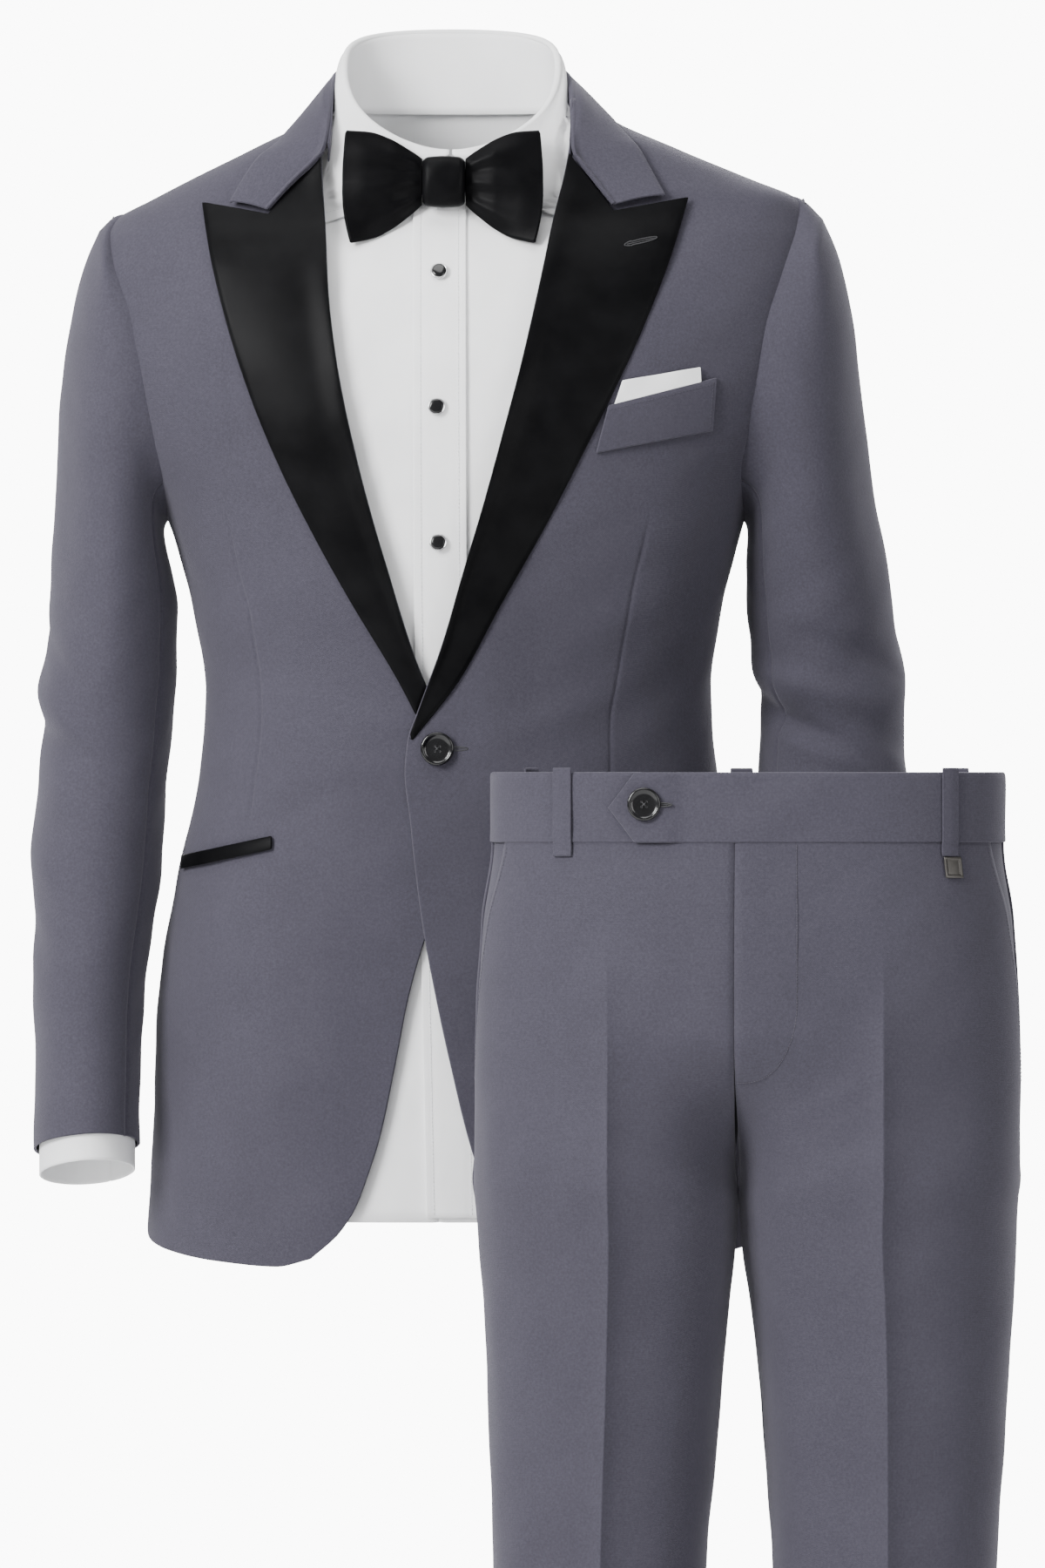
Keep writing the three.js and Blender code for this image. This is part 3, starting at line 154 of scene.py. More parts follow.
# Sleeve folds: at (degrees round), z, reach, width, rise, depth.
FOLDS = {
    "right": [
        (20, -405, 70, 13, -26, 4.5), (50, -440, 55, 12, -20, -4.5), (90, -345, 22, 55, 0, 3.5),
        (35, -520, 50, 18, -24, 3), (-90, -420, 60, 14, 20, -4),
        (30, -378, 45, 7, -22, -1.8), (70, -480, 40, 9, -16, 2), (15, -560, 45, 14, -20, -1.6),
        (60, -610, 45, 16, -14, 1.2), (40, -300, 20, 50, 0, -1.6), (60, -660, 50, 9, -10, -0.9),
    ],
    "left": [
        (115, -424, 62, 9, 26, -7.5), (100, -398, 60, 12, 16, 4.5), (60, -446, 60, 12, 16, 4.5),
        (30, -300, 26, 60, 0, -3.5), (10, -392, 55, 16, -22, 4), (-90, -420, 60, 14, 20, -4),
        (75, -372, 45, 8, 18, -2.4), (60, -470, 45, 8, 14, -2), (120, -350, 40, 18, 10, 2),
        (85, -300, 24, 60, 0, 2), (70, -520, 50, 12, 12, 1.5),
    ],
}
LEAF_EDGE = columns("at x y z", [
    (1, 3, -60, -50), (13, 20, -61, -60), (30, 52, -61, -80), (46, 88, -59, -97), (56, 85.5, -48, -58),
    (72, 77, -30, -20), (90, 76.8, -1, 2), (120, 71, 35.5, 7), (150, 38, 56, 8), (180, 0, 62.5, 8),
])
LEAF_SEAM = 0.86
BOW = dict(x=-4.6, z=-64, y=-62.8, width=28, thick=3, reach={"left": 64.8, "right": 66.2})
WING = columns("share half swell", [
    (0, 15.4, 4.5), (0.16, 21.4, 6), (0.41, 29.2, 8.5), (0.69, 34.6, 8.5), (1, 36.5, 6.5),
])
KNOT = columns("share half front", [
    (0, 13.4, 7.5), (0.05, 15.2, 9.6), (0.14, 16.4, 10.7), (0.5, 17, 11.4), (0.86, 16.4, 10.7),
    (0.95, 15.2, 9.6), (1, 13.4, 7.5),
])
PLACKET = columns("z start end", [
    (-80, -24.7, 9.8), (-300, -24, 10.5), (-520, -20, 14.5), (-742, -15.5, 19),
])
HIPS = columns("z half front back", [
    (0, 166, 88, 90), (-44, 166, 91, 97), (-97, 173, 96, 109), (-150, 176, 99, 117),
    (-200, 177, 100, 119), (-262, 176.6, 98, 112), (-290, 174.8, 94, 102),
])
LEG_NAMES = "z outer inner midY front back"
LEG = {
    "left": columns(LEG_NAMES, [
        (-140, 176, -5, 5, 100, 118), (-262, 176, -5.4, 6, 98, 108), (-290, 174.4, -5.2, 7, 94, 100),
        (-346, 171.7, 2, 8, 86, 89), (-402, 168.4, 8, 9, 80, 81), (-504, 162, 15.5, 10, 74, 74),
        (-620, 156, 21, 12, 69, 70), (-760, 150, 25, 13, 67, 68), (-900, 145, 28, 12, 66, 66),
        (-1075, 141, 30, 8, 65, 65),
    ]),
    "right": columns(LEG_NAMES, [
        (-140, -176.5, -6.6, 5, 100, 118), (-262, -177, -6.6, 6, 98, 108),
        (-290, -175.4, -6.8, 7, 94, 100),
        (-346, -171, -12, 8, 86, 89), (-402, -168.6, -17, 9, 80, 81), (-504, -165.5, -26, 10, 74, 74),
        (-620, -161, -32, 12, 69, 70), (-760, -156, -37, 13, 67, 68), (-900, -152, -40, 12, 66, 66),
        (-1075, -149, -43, 8, 65, 65),
    ]),
}
SEAM_OUT = 0.25
BAND_OUT = 0.9
TAB = dict(tip=-88.4, corner=-73, lift=3.1)
LOOPS = [-42.5, 46.5, 128, 180.9, 232]


# Forms: the same smooth curves and rings as the part's, on whole arrays.
def smooth(t):
    t = np.clip(t, 0, 1)
    return t * t * (3 - 2 * t)


def lerp(a, b, t):
    return a + (b - a) * t


def bell(x, width):
    return np.exp(-((x / width) ** 2))


def curve(table, by, name):
    order = np.argsort(table[by])
    x, y = table[by][order], table[name][order]
    slope = np.diff(y) / np.diff(x)
    before = np.concatenate([slope[:1], slope])
    after = np.concatenate([slope, slope[-1:]])
    total = np.where(before + after == 0, 1, before + after)
    tangent = np.where(before * after <= 0, 0, 2 * before * after / total)

    def at(value):
        t = np.clip(np.asarray(value, float), x[0], x[-1])
        i = np.clip(np.searchsorted(x, t, side="right") - 1, 0, len(slope) - 1)
        h = x[i + 1] - x[i]
        s = (t - x[i]) / h
        return (
            y[i] * (1 + 2 * s) * (1 - s) ** 2 + tangent[i] * h * s * (1 - s) ** 2
            + y[i + 1] * s * s * (3 - 2 * s) + tangent[i + 1] * h * s * s * (s - 1)
        )

    return at


def curves(table, by):
    return {name: curve(table, by, name) for name in table if name != by}


def points(x, y, z):
    return np.stack(np.broadcast_arrays(x, y, z), axis=-1).astype(float)


def ring(angle, z, half, front, back):
    a = np.radians(angle)
    box = 1 + BOXINESS * np.sin(2 * a) ** 2
    depth = np.where(np.cos(a) > 0, front, back)
    return points(half * np.sin(a) * box, -depth * np.cos(a) * box, z)


torso = curves(TORSO, "z")


def on_torso(angle, z, out=0):
    half = np.where(np.sin(np.radians(angle)) < 0, torso["right"](z), torso["left"](z))
    return ring(angle, z, half + out, torso["front"](z) + out, torso["back"](z) + out)


def bisect(is_short, low, high, steps):
    """Narrows the span from low to high round the value where is_short turns false."""
    for _ in range(steps):
        middle = (low + high) / 2
        short = is_short(middle)
        low, high = np.where(short, middle, low), np.where(short, high, middle)
    return low, high


def angle_at(x, z, out=0):
    x, z, out = np.broadcast_arrays(*map(np.asarray, (x, z, out)))
    ends = np.full(x.shape, -90.0), np.full(x.shape, 90.0)
    low, high = bisect(lambda angle: on_torso(angle, z, out)[..., 0] < x, *ends, 34)
    return (low + high) / 2


def on_front(x, z, out=0):
    return on_torso(angle_at(x, z, out), z, out)


def clear_of(p, out):
    half = np.where(p[..., 0] < 0, torso["right"](p[..., 2]), torso["left"](p[..., 2]))
    depth = np.where(p[..., 1] < 0, torso["front"](p[..., 2]), torso["back"](p[..., 2]))
    angle = np.degrees(np.arctan2(p[..., 0] / half, -p[..., 1] / depth))
    need = on_torso(angle, p[..., 2], out)
    inside = np.hypot(p[..., 0], p[..., 1]) < np.hypot(need[..., 0], need[..., 1])
    return np.where(inside[..., None], need, p)


def outward(p):
    away = p * [1, 1, 0]
    return away / np.maximum(np.linalg.norm(away, axis=-1, keepdims=True), 1e-9)


# Soft unevenness of hand-pressed cloth, the same on every run.
def ripple(p, scale, seed=0):
    total = 0
    for k in range(5):
        a, b, c = (math.sin(12.9 * (k + 1) + 7.3 * seed + j * 4.1) for j in range(3))
        along = p[..., 0] * a + p[..., 1] * b + p[..., 2] * c
        total = total + np.sin(along * 6.28 / scale + 3.7 * k + seed)
    return total / 2.2


def shares(count, fine=0.0, ends="both"):
    """Even shares of a row, with extra ones near its ends so that a seam can sink in."""
    base = np.linspace(0, 1, count)
    if not fine:
        return base
    near = np.array([0.25, 0.5, 0.75, 1.1, 1.6, 2.3]) * fine
    extra = [near] if ends != "end" else []
    extra += [1 - near] if ends != "start" else []
    inner = base[(base > 2.8 * fine) & (base < 1 - 2.8 * fine)]
    return np.unique(np.concatenate([[0, 1], inner, *extra]))


def rows_by(down, across):
    """Two arrays of one grid: the first changes from row to row, the second along each row."""
    return np.broadcast_arrays(down[:, None], across[None, :])


def normals_of(grid):
    across = np.gradient(grid, axis=1)
    down = np.gradient(grid, axis=0)
    n = np.cross(across, down)
    return n / np.maximum(np.linalg.norm(n, axis=-1, keepdims=True), 1e-9)


def facing(grid, core):
    n = normals_of(grid)
    return n * np.sign(np.sum(n * (grid - np.array(core, float))))


def edge_distance(grid):
    """Distances in millimetres of each point from the four edges: start, end, top, foot."""
    across = np.linalg.norm(np.diff(grid, axis=1), axis=-1)
    down = np.linalg.norm(np.diff(grid, axis=0), axis=-1)
    x = np.concatenate([np.zeros((grid.shape[0], 1)), np.cumsum(across, axis=1)], axis=1)
    z = np.concatenate([np.zeros((1, grid.shape[1])), np.cumsum(down, axis=0)], axis=0)
    return {"start": x, "end": x[:, -1:] - x, "top": z, "foot": z[-1:] - z}


def mesh_object(name, verts, faces, slots, materials, uv):
    mesh = bpy.data.meshes.new(name)
    mesh.from_pydata([tuple(v) for v in np.asarray(verts) * 0.001], [], faces)
    for material in materials:
        mesh.materials.append(material)
    mesh.polygons.foreach_set("material_index", slots)
    mesh.polygons.foreach_set("use_smooth", [True] * len(faces))
    layer = mesh.uv_layers.new(name="cloth")
    index = np.empty(len(mesh.loops), dtype=np.int32)
    mesh.loops.foreach_get("vertex_index", index)
    layer.data.foreach_set("uv", (uv[index] * 0.001).ravel())
    mesh.update()
    obj = bpy.data.objects.new(name, mesh)
    bpy.context.scene.collection.objects.link(obj)
    return obj


def flat_size(grid):
    far = edge_distance(grid)
    width = float(np.max(far["start"][:, -1])) * 0.001
    a = grid[:-1, :-1], grid[:-1, 1:], grid[1:, 1:], grid[1:, :-1]
    area = float(np.linalg.norm(np.cross(a[2] - a[0], a[3] - a[1]), axis=-1).sum()) / 2 * 1e-6
    length = min(float(np.max(far["top"][-1])) * 0.001, area / (0.33 * width))
    return width, max(length, area / width), area


SHEETS = {}


def shell(name, grid, thickness, core, outer, inner, node, sink=(), depth=0.9, held="hung"):
    """A cloth wall with soft rounded edges. `sink` names the edges that are sewn in, `depth` deep."""
    n = facing(grid, core)
    if sink:
        far = edge_distance(grid)
        groove = sum(bell(far[edge], 1.6) for edge in sink)
        grid = grid - n * (depth * groove)[..., None]
    width, length, area = flat_size(grid)
    rows, count = grid.shape[:2]
    back = grid - n * thickness
    far = edge_distance(grid)
    uv = np.stack([far["start"] - far["start"][:, -1:] / 2, -far["top"]], axis=-1).reshape(-1, 2)
    index = np.arange(rows * count).reshape(rows, count)
    total = rows * count
    flip = np.sum(normals_of(grid) * n) < 0
    a, b, c, d = index[:-1, :-1], index[:-1, 1:], index[1:, 1:], index[1:, :-1]
    front = np.stack([a, b, c, d] if not flip else [a, d, c, b], axis=-1).reshape(-1, 4)
    behind = front[:, ::-1] + total
    rim = np.concatenate([index[0, :-1], index[:-1, -1], index[-1, :0:-1], index[:0:-1, 0]])
    flat = grid.reshape(-1, 3)
    flat_back = back.reshape(-1, 3)
    inside = np.concatenate([index[1, :-1], index[:-1, -2], index[-2, :0:-1], index[:0:-1, 1]])
    push = flat[rim] - flat[inside]
    push /= np.maximum(np.linalg.norm(push, axis=-1, keepdims=True), 1e-9)
    middle = (flat[rim] + flat_back[rim]) / 2 + push * thickness * 0.3
    m = len(rim)
    mid = np.arange(m) + 2 * total
    nxt = np.roll(rim, -1)
    mid_next = np.roll(mid, -1)
    outer_half = np.stack([rim, mid, mid_next, nxt], -1)
    inner_half = np.stack([mid, rim + total, nxt + total, mid_next], -1)
    around = np.concatenate([outer_half, inner_half])
    if flip:
        around = around[:, ::-1]
    faces = np.concatenate([front, around, behind])
    slots = np.concatenate([np.zeros(len(front) + len(around)), np.ones(len(behind))]).astype(np.int32)
    verts = np.concatenate([flat, flat_back, middle])
    uvs = np.concatenate([uv, uv, uv[rim]])
    obj = mesh_object(name, verts, faces.tolist(), slots.tolist(), [outer, inner], uvs)
    ride(obj, node)
    if held:
        SHEETS[name] = (obj, width, length, area, held)


def ride(obj, node=None):
    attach(obj, "root")
    if node:
        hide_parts(node)


def single(name, verts, faces, material, node=None, closed=False):
    """A mesh of one material, mapped from the front."""
    verts = np.array(verts)
    obj = mesh_object(name, verts, faces, [0] * len(faces), [material], verts[:, [0, 2]])
    if closed:
        fix_normals(obj)
    ride(obj, node)


def fix_normals(obj):
    mesh = bmesh.new()
    mesh.from_mesh(obj.data)
    bmesh.ops.recalc_face_normals(mesh, faces=mesh.faces)
    mesh.to_mesh(obj.data)
    mesh.free()


# Materials.
SOCKETS = {
    "roughness": "Roughness", "specular": "Specular IOR Level", "sheen": "Sheen Weight",
    "sheen_roughness": "Sheen Roughness", "sheen_tint": "Sheen Tint", "metallic": "Metallic",
    "coat": "Coat Weight", "coat_roughness": "Coat Roughness",
}


def new_material(name):
    material = bpy.data.materials.new(name)
    material.use_nodes = True
    tree = material.node_tree
    return material, tree, tree.nodes["Principled BSDF"]


def link(tree, a, b):
    tree.links.new(a, b)


def noise(tree, scale, vector, **sockets):
    node = tree.nodes.new("ShaderNodeTexNoise")
    node.inputs["Scale"].default_value = scale
    for name, value in sockets.items():
        node.inputs[name].default_value = value
    link(tree, vector, node.inputs["Vector"])
    return node


def tones(tree, value, stops):
    ramp = tree.nodes.new("ShaderNodeValToRGB")
    ramp.color_ramp.elements[0].position = stops[0][0]
    ramp.color_ramp.elements[0].color = (*stops[0][1], 1)
    ramp.color_ramp.elements[1].position = stops[-1][0]
    ramp.color_ramp.elements[1].color = (*stops[-1][1], 1)
    for position, colour in stops[1:-1]:
        element = ramp.color_ramp.elements.new(position)
        element.color = (*colour, 1)
    link(tree, value, ramp.inputs["Fac"])
    return ramp.outputs["Color"]


def uniform(shader, **values):
    """Plain numbers straight on the shader's sockets."""
    for name, value in values.items():
        shader.inputs[SOCKETS[name]].default_value = value


def arithmetic(tree, operation, a, b):
    node = tree.nodes.new("ShaderNodeMath")
    node.operation = operation
    for socket, value in zip(node.inputs, (a, b)):
        if isinstance(value, (int, float)):
            socket.default_value = value
        else:
            link(tree, value, socket)
    return node.outputs[0]


def add(tree, a, b):
    return arithmetic(tree, "ADD", a, b)


def times(tree, a, b):
    return arithmetic(tree, "MULTIPLY", a, b)


def bump(tree, shader, height, strength, distance):
    node = tree.nodes.new("ShaderNodeBump")
    node.inputs["Strength"].default_value = strength
    node.inputs["Distance"].default_value = distance
    link(tree, height, node.inputs["Height"])
    link(tree, node.outputs["Normal"], shader.inputs["Normal"])


def weave(tree, vector, pitch, twill=0.0):
    """Height of crossing threads: warp and weft waves of the given pitch in metres."""
    split = tree.nodes.new("ShaderNodeSeparateXYZ")
    link(tree, vector, split.inputs[0])
    turn = 2 * math.pi / pitch
    along = times(tree, split.outputs[0], turn)
    up = times(tree, split.outputs[1], turn)
    slanted = add(tree, along, times(tree, up, twill))
    warp = arithmetic(tree, "SINE", slanted, 0.0)
    weft = arithmetic(tree, "SINE", up, 0.0)
    return add(tree, times(tree, warp, 0.5), times(tree, weft, 0.5))


def cloth_vector(tree):
    node = tree.nodes.new("ShaderNodeUVMap")
    node.uv_map = "cloth"
    return node.outputs["UV"]


def object_vector(tree):
    return tree.nodes.new("ShaderNodeTexCoord").outputs["Object"]


def make_wool():
    material, tree, shader = new_material("wool")
    where = object_vector(tree)
    cloth = cloth_vector(tree)
    nap = noise(tree, 620, where, Detail=3.0, Roughness=0.65)
    cloud = noise(tree, 16, where, Detail=4.0, Roughness=0.55)
    threads = weave(tree, cloth, 0.0011, 1.0)
    value = add(tree, times(tree, nap.outputs[0], 0.76), times(tree, cloud.outputs[0], 0.24))
    value = add(tree, value, times(tree, threads, 0.035))
    colour = tones(tree, value, [
        (0.3, (0.037, 0.0345, 0.047)), (0.5, (0.046, 0.043, 0.059)), (0.72, (0.058, 0.0545, 0.073)),
    ])
    link(tree, colour, shader.inputs["Base Color"])
    uniform(shader, roughness=0.88, specular=0.22, sheen=0.2, sheen_roughness=0.45,
            sheen_tint=(0.72, 0.70, 0.80, 1))
    height = add(tree, times(tree, threads, 0.35), nap.outputs[0])
    bump(tree, shader, height, 0.35, 0.0005)
    return material


def make_satin(name="satin", tone=0.0028):
    material, tree, shader = new_material(name)
    where = object_vector(tree)
    cloth = cloth_vector(tree)
    cloud = noise(tree, 40, where, Detail=3.0)
    dark, light = (tone, tone, tone * 1.15), (tone * 1.7, tone * 1.7, tone * 1.9)
    colour = tones(tree, cloud.outputs[0], [(0.35, dark), (0.7, light)])
    link(tree, colour, shader.inputs["Base Color"])
    rough = tones(tree, cloud.outputs[0], [(0.3, (0.30,) * 3), (0.7, (0.38,) * 3)])
    link(tree, rough, shader.inputs["Roughness"])
    uniform(shader, specular=0.045)
    ribs = weave(tree, cloth, 0.0005)
    bump(tree, shader, add(tree, ribs, times(tree, cloud.outputs[0], 2.0)), 0.12, 0.0003)
    return material


def make_shirting():
    material, tree, shader = new_material("shirting")
    where = object_vector(tree)
    cloth = cloth_vector(tree)
    cloud = noise(tree, 30, where, Detail=3.0)
    threads = weave(tree, cloth, 0.0006)
    value = add(tree, times(tree, threads, 0.06), cloud.outputs[0])
    colour = tones(tree, value, [(0.3, (0.90, 0.905, 0.915)), (0.7, (0.95, 0.952, 0.96))])
    link(tree, colour, shader.inputs["Base Color"])
    uniform(shader, roughness=0.78, specular=0.3, sheen=0.15)
    bump(tree, shader, threads, 0.3, 0.0003)
    return material


def make_plain(name, dark, light, roughness, metallic=0.0, coat=0.0, scale=90):
    material, tree, shader = new_material(name)
    where = object_vector(tree)
    cloud = noise(tree, scale, where, Detail=4.0)
    colour = tones(tree, cloud.outputs[0], [(0.35, dark), (0.65, light)])
    link(tree, colour, shader.inputs["Base Color"])
    ends = (roughness * 0.85,) * 3, (roughness * 1.15,) * 3
    rough = tones(tree, cloud.outputs[0], [(0.3, ends[0]), (0.7, ends[1])])
    link(tree, rough, shader.inputs["Roughness"])
    uniform(shader, metallic=metallic, coat=coat, coat_roughness=0.06)
    bump(tree, shader, cloud.outputs[0], 0.05, 0.0002)
    return material


wool = make_wool()
satin = make_satin()
shirting = make_shirting()
lining = make_satin("lining", 0.008)
polished = make_plain("polished_black", (0.003, 0.003, 0.0035), (0.006, 0.006, 0.007), 0.17, coat=0.12)
silver = make_plain("silver_rim", (0.55, 0.55, 0.56), (0.72, 0.72, 0.73), 0.22, metallic=1.0)
gunmetal = make_plain("gunmetal", (0.07, 0.066, 0.062), (0.11, 0.104, 0.098), 0.34, 0.95, scale=60)
thread = make_plain("thread", (0.045, 0.042, 0.056), (0.075, 0.071, 0.092), 0.7, scale=900)
white_thread = make_plain("white_thread", (0.66, 0.67, 0.69), (0.78, 0.79, 0.81), 0.7, scale=900)
black_thread = make_plain("black_thread", (0.012, 0.012, 0.014), (0.028, 0.028, 0.031), 0.45, scale=900)
CORE = (0, 0, -400)


# The jacket's body.
def side_angle(side, z, front):
    tip = SHOULDER_TIP[side]
    middle = (tip + UNDERARM) / 2
    share = np.clip((z - middle) / ((tip - UNDERARM) / 2), -1, 1)
    spread = ARMHOLE_SPREAD * np.sqrt(1 - share * share)
    spread = np.where((z >= tip) | (z <= UNDERARM), 0, spread)
    return 90 - spread if front else 90 + spread


def panel_rows(side, top, foot, fine):
    """The heights of a body panel's rows, at its side edge and at its middle edge."""
    tip = SHOULDER_TIP[side]
    centre = (tip + UNDERARM) / 2
    shoulder = np.linspace(top, tip, 4 * fine + 1)
    arm = centre + (tip - UNDERARM) / 2 * np.cos(np.pi * np.linspace(0, 1, 9 * fine + 1)[1:])
    upper = np.concatenate([shoulder, arm])
    middle = lerp(top, UNDERARM, np.linspace(0, 1, len(upper)))
    below = lerp(UNDERARM, foot, shares(100, 0.004, "end")[1:])
    return np.concatenate([upper, below])[:, None], np.concatenate([middle, below])[:, None]


def lap(x):
    return LAP_LIFT * smooth((62 - x) / 45)


# Soft folds of the jacket's body: x, z, length, width, slope, depth. They fan from its button.
BODY_FOLDS = [
    (-60, -452, 52, 9, 0.16, 1.5), (-66, -415, 50, 10, -0.30, 1.2), (62, -455, 46, 10, -0.2, 1.3),
    (58, -420, 42, 9, 0.35, 1.1), (-110, -480, 44, 14, 0.5, -1.2), (-138, -300, 22, 46, 0.0, 1.6),
    (140, -300, 20, 46, 0.0, 1.5), (-128, -392, 30, 30, 0.3, -1.2), (-120, -600, 20, 110, 0.0, 1.6),
    (-60, -640, 22, 110, 0.0, -1.4), (118, -640, 24, 100, 0.0, 1.2), (-150, -560, 26, 34, 0.3, 1.0),
]


def folds_at(table, p):
    total = 0
    for x, z, length, width, slope, depth in table:
        dx = p[..., 0] - x
        dz = p[..., 2] - z - slope * dx
        total = total + depth * np.exp(-((dx / length) ** 2) - (dz / width) ** 2)
    return total


def body_fold(p):
    return np.where(p[..., 1] < 20, folds_at(BODY_FOLDS, p), 0)


DARTS = {
    "right": columns("z x", [
        (-276, -147.2), (-322, -138.6), (-345, -132.8), (-368, -129.4), (-414, -125.4),
        (-460, -129), (-492, -134),
    ]),
    "left": columns("z x", [
        (-276, 132.3), (-345, 117.3), (-386, 110.4), (-418.6, 105.2), (-451, 104.9), (-492, 109),
    ]),
}


def dart_groove(side, p):
    x = curve(DARTS[side], "z", "x")(p[..., 2])
    table = DARTS[side]
    along = smooth((p[..., 2] - table["z"].min()) / 20) * smooth((table["z"].max() - p[..., 2]) / 30)
    return -0.65 * bell(p[..., 0] - x, 1.2) * along


def jacket_front(side):
    sign = SIGN[side]
    side_z, middle_z = panel_rows(side, -7, FRONT_FOOT, 5)
    start = angle_at(curve(EDGE[side], "z", "x")(middle_z), middle_z)
    end = sign * (side_angle(side, side_z, True) - 0.15)
    dart_x = curve(DARTS[side], "z", "x")(middle_z)
    dart = np.clip((angle_at(dart_x, middle_z) - start) / (end - start), 0.3, 0.9)
    base = np.tile(shares(60, 0.006), (len(dart), 1))
    near = np.array([-0.02, -0.012, -0.007, -0.0035, 0, 0.0035, 0.007, 0.012, 0.02])
    u = np.sort(np.concatenate([base, dart + near], axis=1), axis=1)
    dip = 1 - smooth((side_z - FRONT_FOOT) / 120)
    z = lerp(middle_z, side_z, u * u) + (curve(HEM, "share", "z")(u) - FRONT_FOOT) * dip
    angle = lerp(start, end, u)
    p = on_torso(angle, z)
    lift = lap(p[..., 0]) if side == "left" else 0
    lift = lift + body_fold(p) + dart_groove(side, p) + 0.35 * ripple(p, 95, 1) + 0.2 * ripple(p, 42, 2)
    grid = on_torso(angle, z, lift)
    shell(f"front_{side}", grid, BODY_WALL, CORE, wool, lining, f"jacket_front_{side}", ("end",))


def jacket_back(side):
    sign = SIGN[side]
    side_z, middle_z = panel_rows(side, -6, BACK_HEM, 5)
    start = sign * (side_angle(side, side_z, False) + 0.15)
    u = shares(56, 0.007)[None, :]
    angle = lerp(start, sign * 179.9, u)
    z = lerp(middle_z, side_z, (1 - u) ** 2)
    p = on_torso(angle, z)
    blades = 2.2 * np.exp(-(((np.abs(p[..., 0]) - 82) / 46) ** 2) - ((z + 165) / 60) ** 2)
    waist = 1.3 * np.sin(z / 13.0) * bell(z + 425, 40) * bell(np.abs(p[..., 0]) - 70, 55)
    seam = 1.6 * smooth((-520 - z) / 60) * bell(p[..., 0], 9) * (side == "left")
    lift = blades + waist + seam + 0.45 * ripple(p, 110, 3) + 0.2 * ripple(p, 45, 4)
    grid = on_torso(angle, z, lift)
    node = f"jacket_back_{side}"
    shell(f"back_{side}", grid, BODY_WALL, CORE, wool, lining, node, sink=("start", "end"))


for side in SIDES:
    jacket_front(side)
    jacket_back(side)


# Satin lapels and the collar.
def lapel_proud(z):
    """How far a lapel stands off the chest beyond its lift, toward the top."""
    return 2.6 * smooth((z + 160) / 70)


def lapel(side, s, u, extra=0.0):
    top = LAPEL_TOP[side]
    outer = curve(LAPEL_EDGE[side], "z", "x")
    edge = curve(EDGE[side], "z", "x")
    inner_z = lerp(top["foot"], top["rollZ"], s)
    outer_z = lerp(top["outerFoot"], top["tipZ"], s)
    tip_x = float(outer(top["tipZ"]))
    before = u < top["notchAt"]
    share = np.where(before, u / top["notchAt"], (u - top["notchAt"]) / (1 - top["notchAt"]))
    via = [(top["rollX"], top["notchX"], tip_x), (top["rollZ"], top["notchZ"], top["tipZ"])]
    top_x, top_z = (np.where(before, lerp(a, b, share), lerp(b, c, share)) for a, b, c in via)
    bend = s**7
    roll_x = float(edge(top["rollZ"]))
    x = lerp(edge(inner_z), outer(outer_z), u) + bend * (top_x - lerp(roll_x, tip_x, u))
    z = lerp(inner_z, outer_z, u) + bend * (top_z - lerp(top["rollZ"], top["tipZ"], u))
    roll = 3.2 * bell(u, 0.16) + 1.2 * np.sin(np.pi * u)
    base = lap(x) if side == "left" else 0
    return on_front(x, z, base + LAPEL_LIFT + lapel_proud(z) + roll * smooth(s * 4) + extra)


for side in SIDES:
    top = LAPEL_TOP[side]
    s = shares(130, 0.004)[:, None]
    u = np.union1d(shares(44, 0.012), [top["notchAt"]])[None, :]
    far = 0.5 * ripple(lapel(side, s, u), 70, 5) * smooth(u * (1 - u) * 8)
    name, node = f"satin_lapel_{side}", f"lapel_{side}"
    shell(name, lapel(side, s, u, far), LAPEL_WALL, CORE, satin, satin, node, ("end", "top"), 0.7)

fall = curves(COLLAR_FALL, "index")


def fold_point(i):
    return points(fall["innerX"](i), fall["innerY"](i), fall["innerZ"](i))


def fall_edge(i):
    return points(fall["outerX"](i), fall["outerY"](i), fall["outerZ"](i))


def settle(p, out, most):
    """Lowers points by up to `most` until they lie on the torso's form, moved out by `out`."""
    p = p.copy()
    steps = 40
    for _ in range(steps):
        held = clear_of(p, out)
        free = np.abs(held - p).max(axis=-1) < 1e-9
        p[..., 2] -= most / steps * free
    return p


def roll_size(t):
    """The radius of the collar's fold, which is small at both ends of the fall."""
    return 0.7 + 1.0 * smooth((t - 1) / 1.5) * smooth((13 - t) / 1.5)


# The fall rolls over its fold, so that it and the stand read as one folded cloth.
across = np.concatenate([np.linspace(-1, 0, 10)[:-1], shares(22, 0.03, "end")])
t, u = rows_by(shares(170, 0.003) * FALL_COUNT, across)
size = roll_size(t)[..., None]
middle = fold_point(t) - outward(fold_point(t)) * size - UP * size
turn = np.radians(np.clip(-u, 0, 1) * 200)[..., None]
roll = middle + outward(middle) * size * np.cos(turn) + UP * size * np.sin(turn)
run = np.clip(u, 0, 1)[..., None]
near = smooth((t - 1.8) / 1.2) * smooth((12.2 - t) / 1.2)  # the part round the neck
edge = settle(fall_edge(t), FALL_CLEAR, FALL_DROP * near)
grid = lerp(middle + outward(middle) * size, edge, run)
belly = np.sin(np.pi * run) ** 0.8
grid = grid + outward(grid) * 1.8 * belly + np.array([0, 0, 1.6]) * belly
grid = clear_of(grid, lerp(FALL_CLEAR_AT_FOLD, FALL_CLEAR, near * np.clip(u, 0, 1) ** 2))
grid = grid + outward(grid) * (0.25 * ripple(grid, 40, 6))[..., None] * np.clip(run * 4, 0, 1)
grid = np.where(u[..., None] < 0, roll, grid)
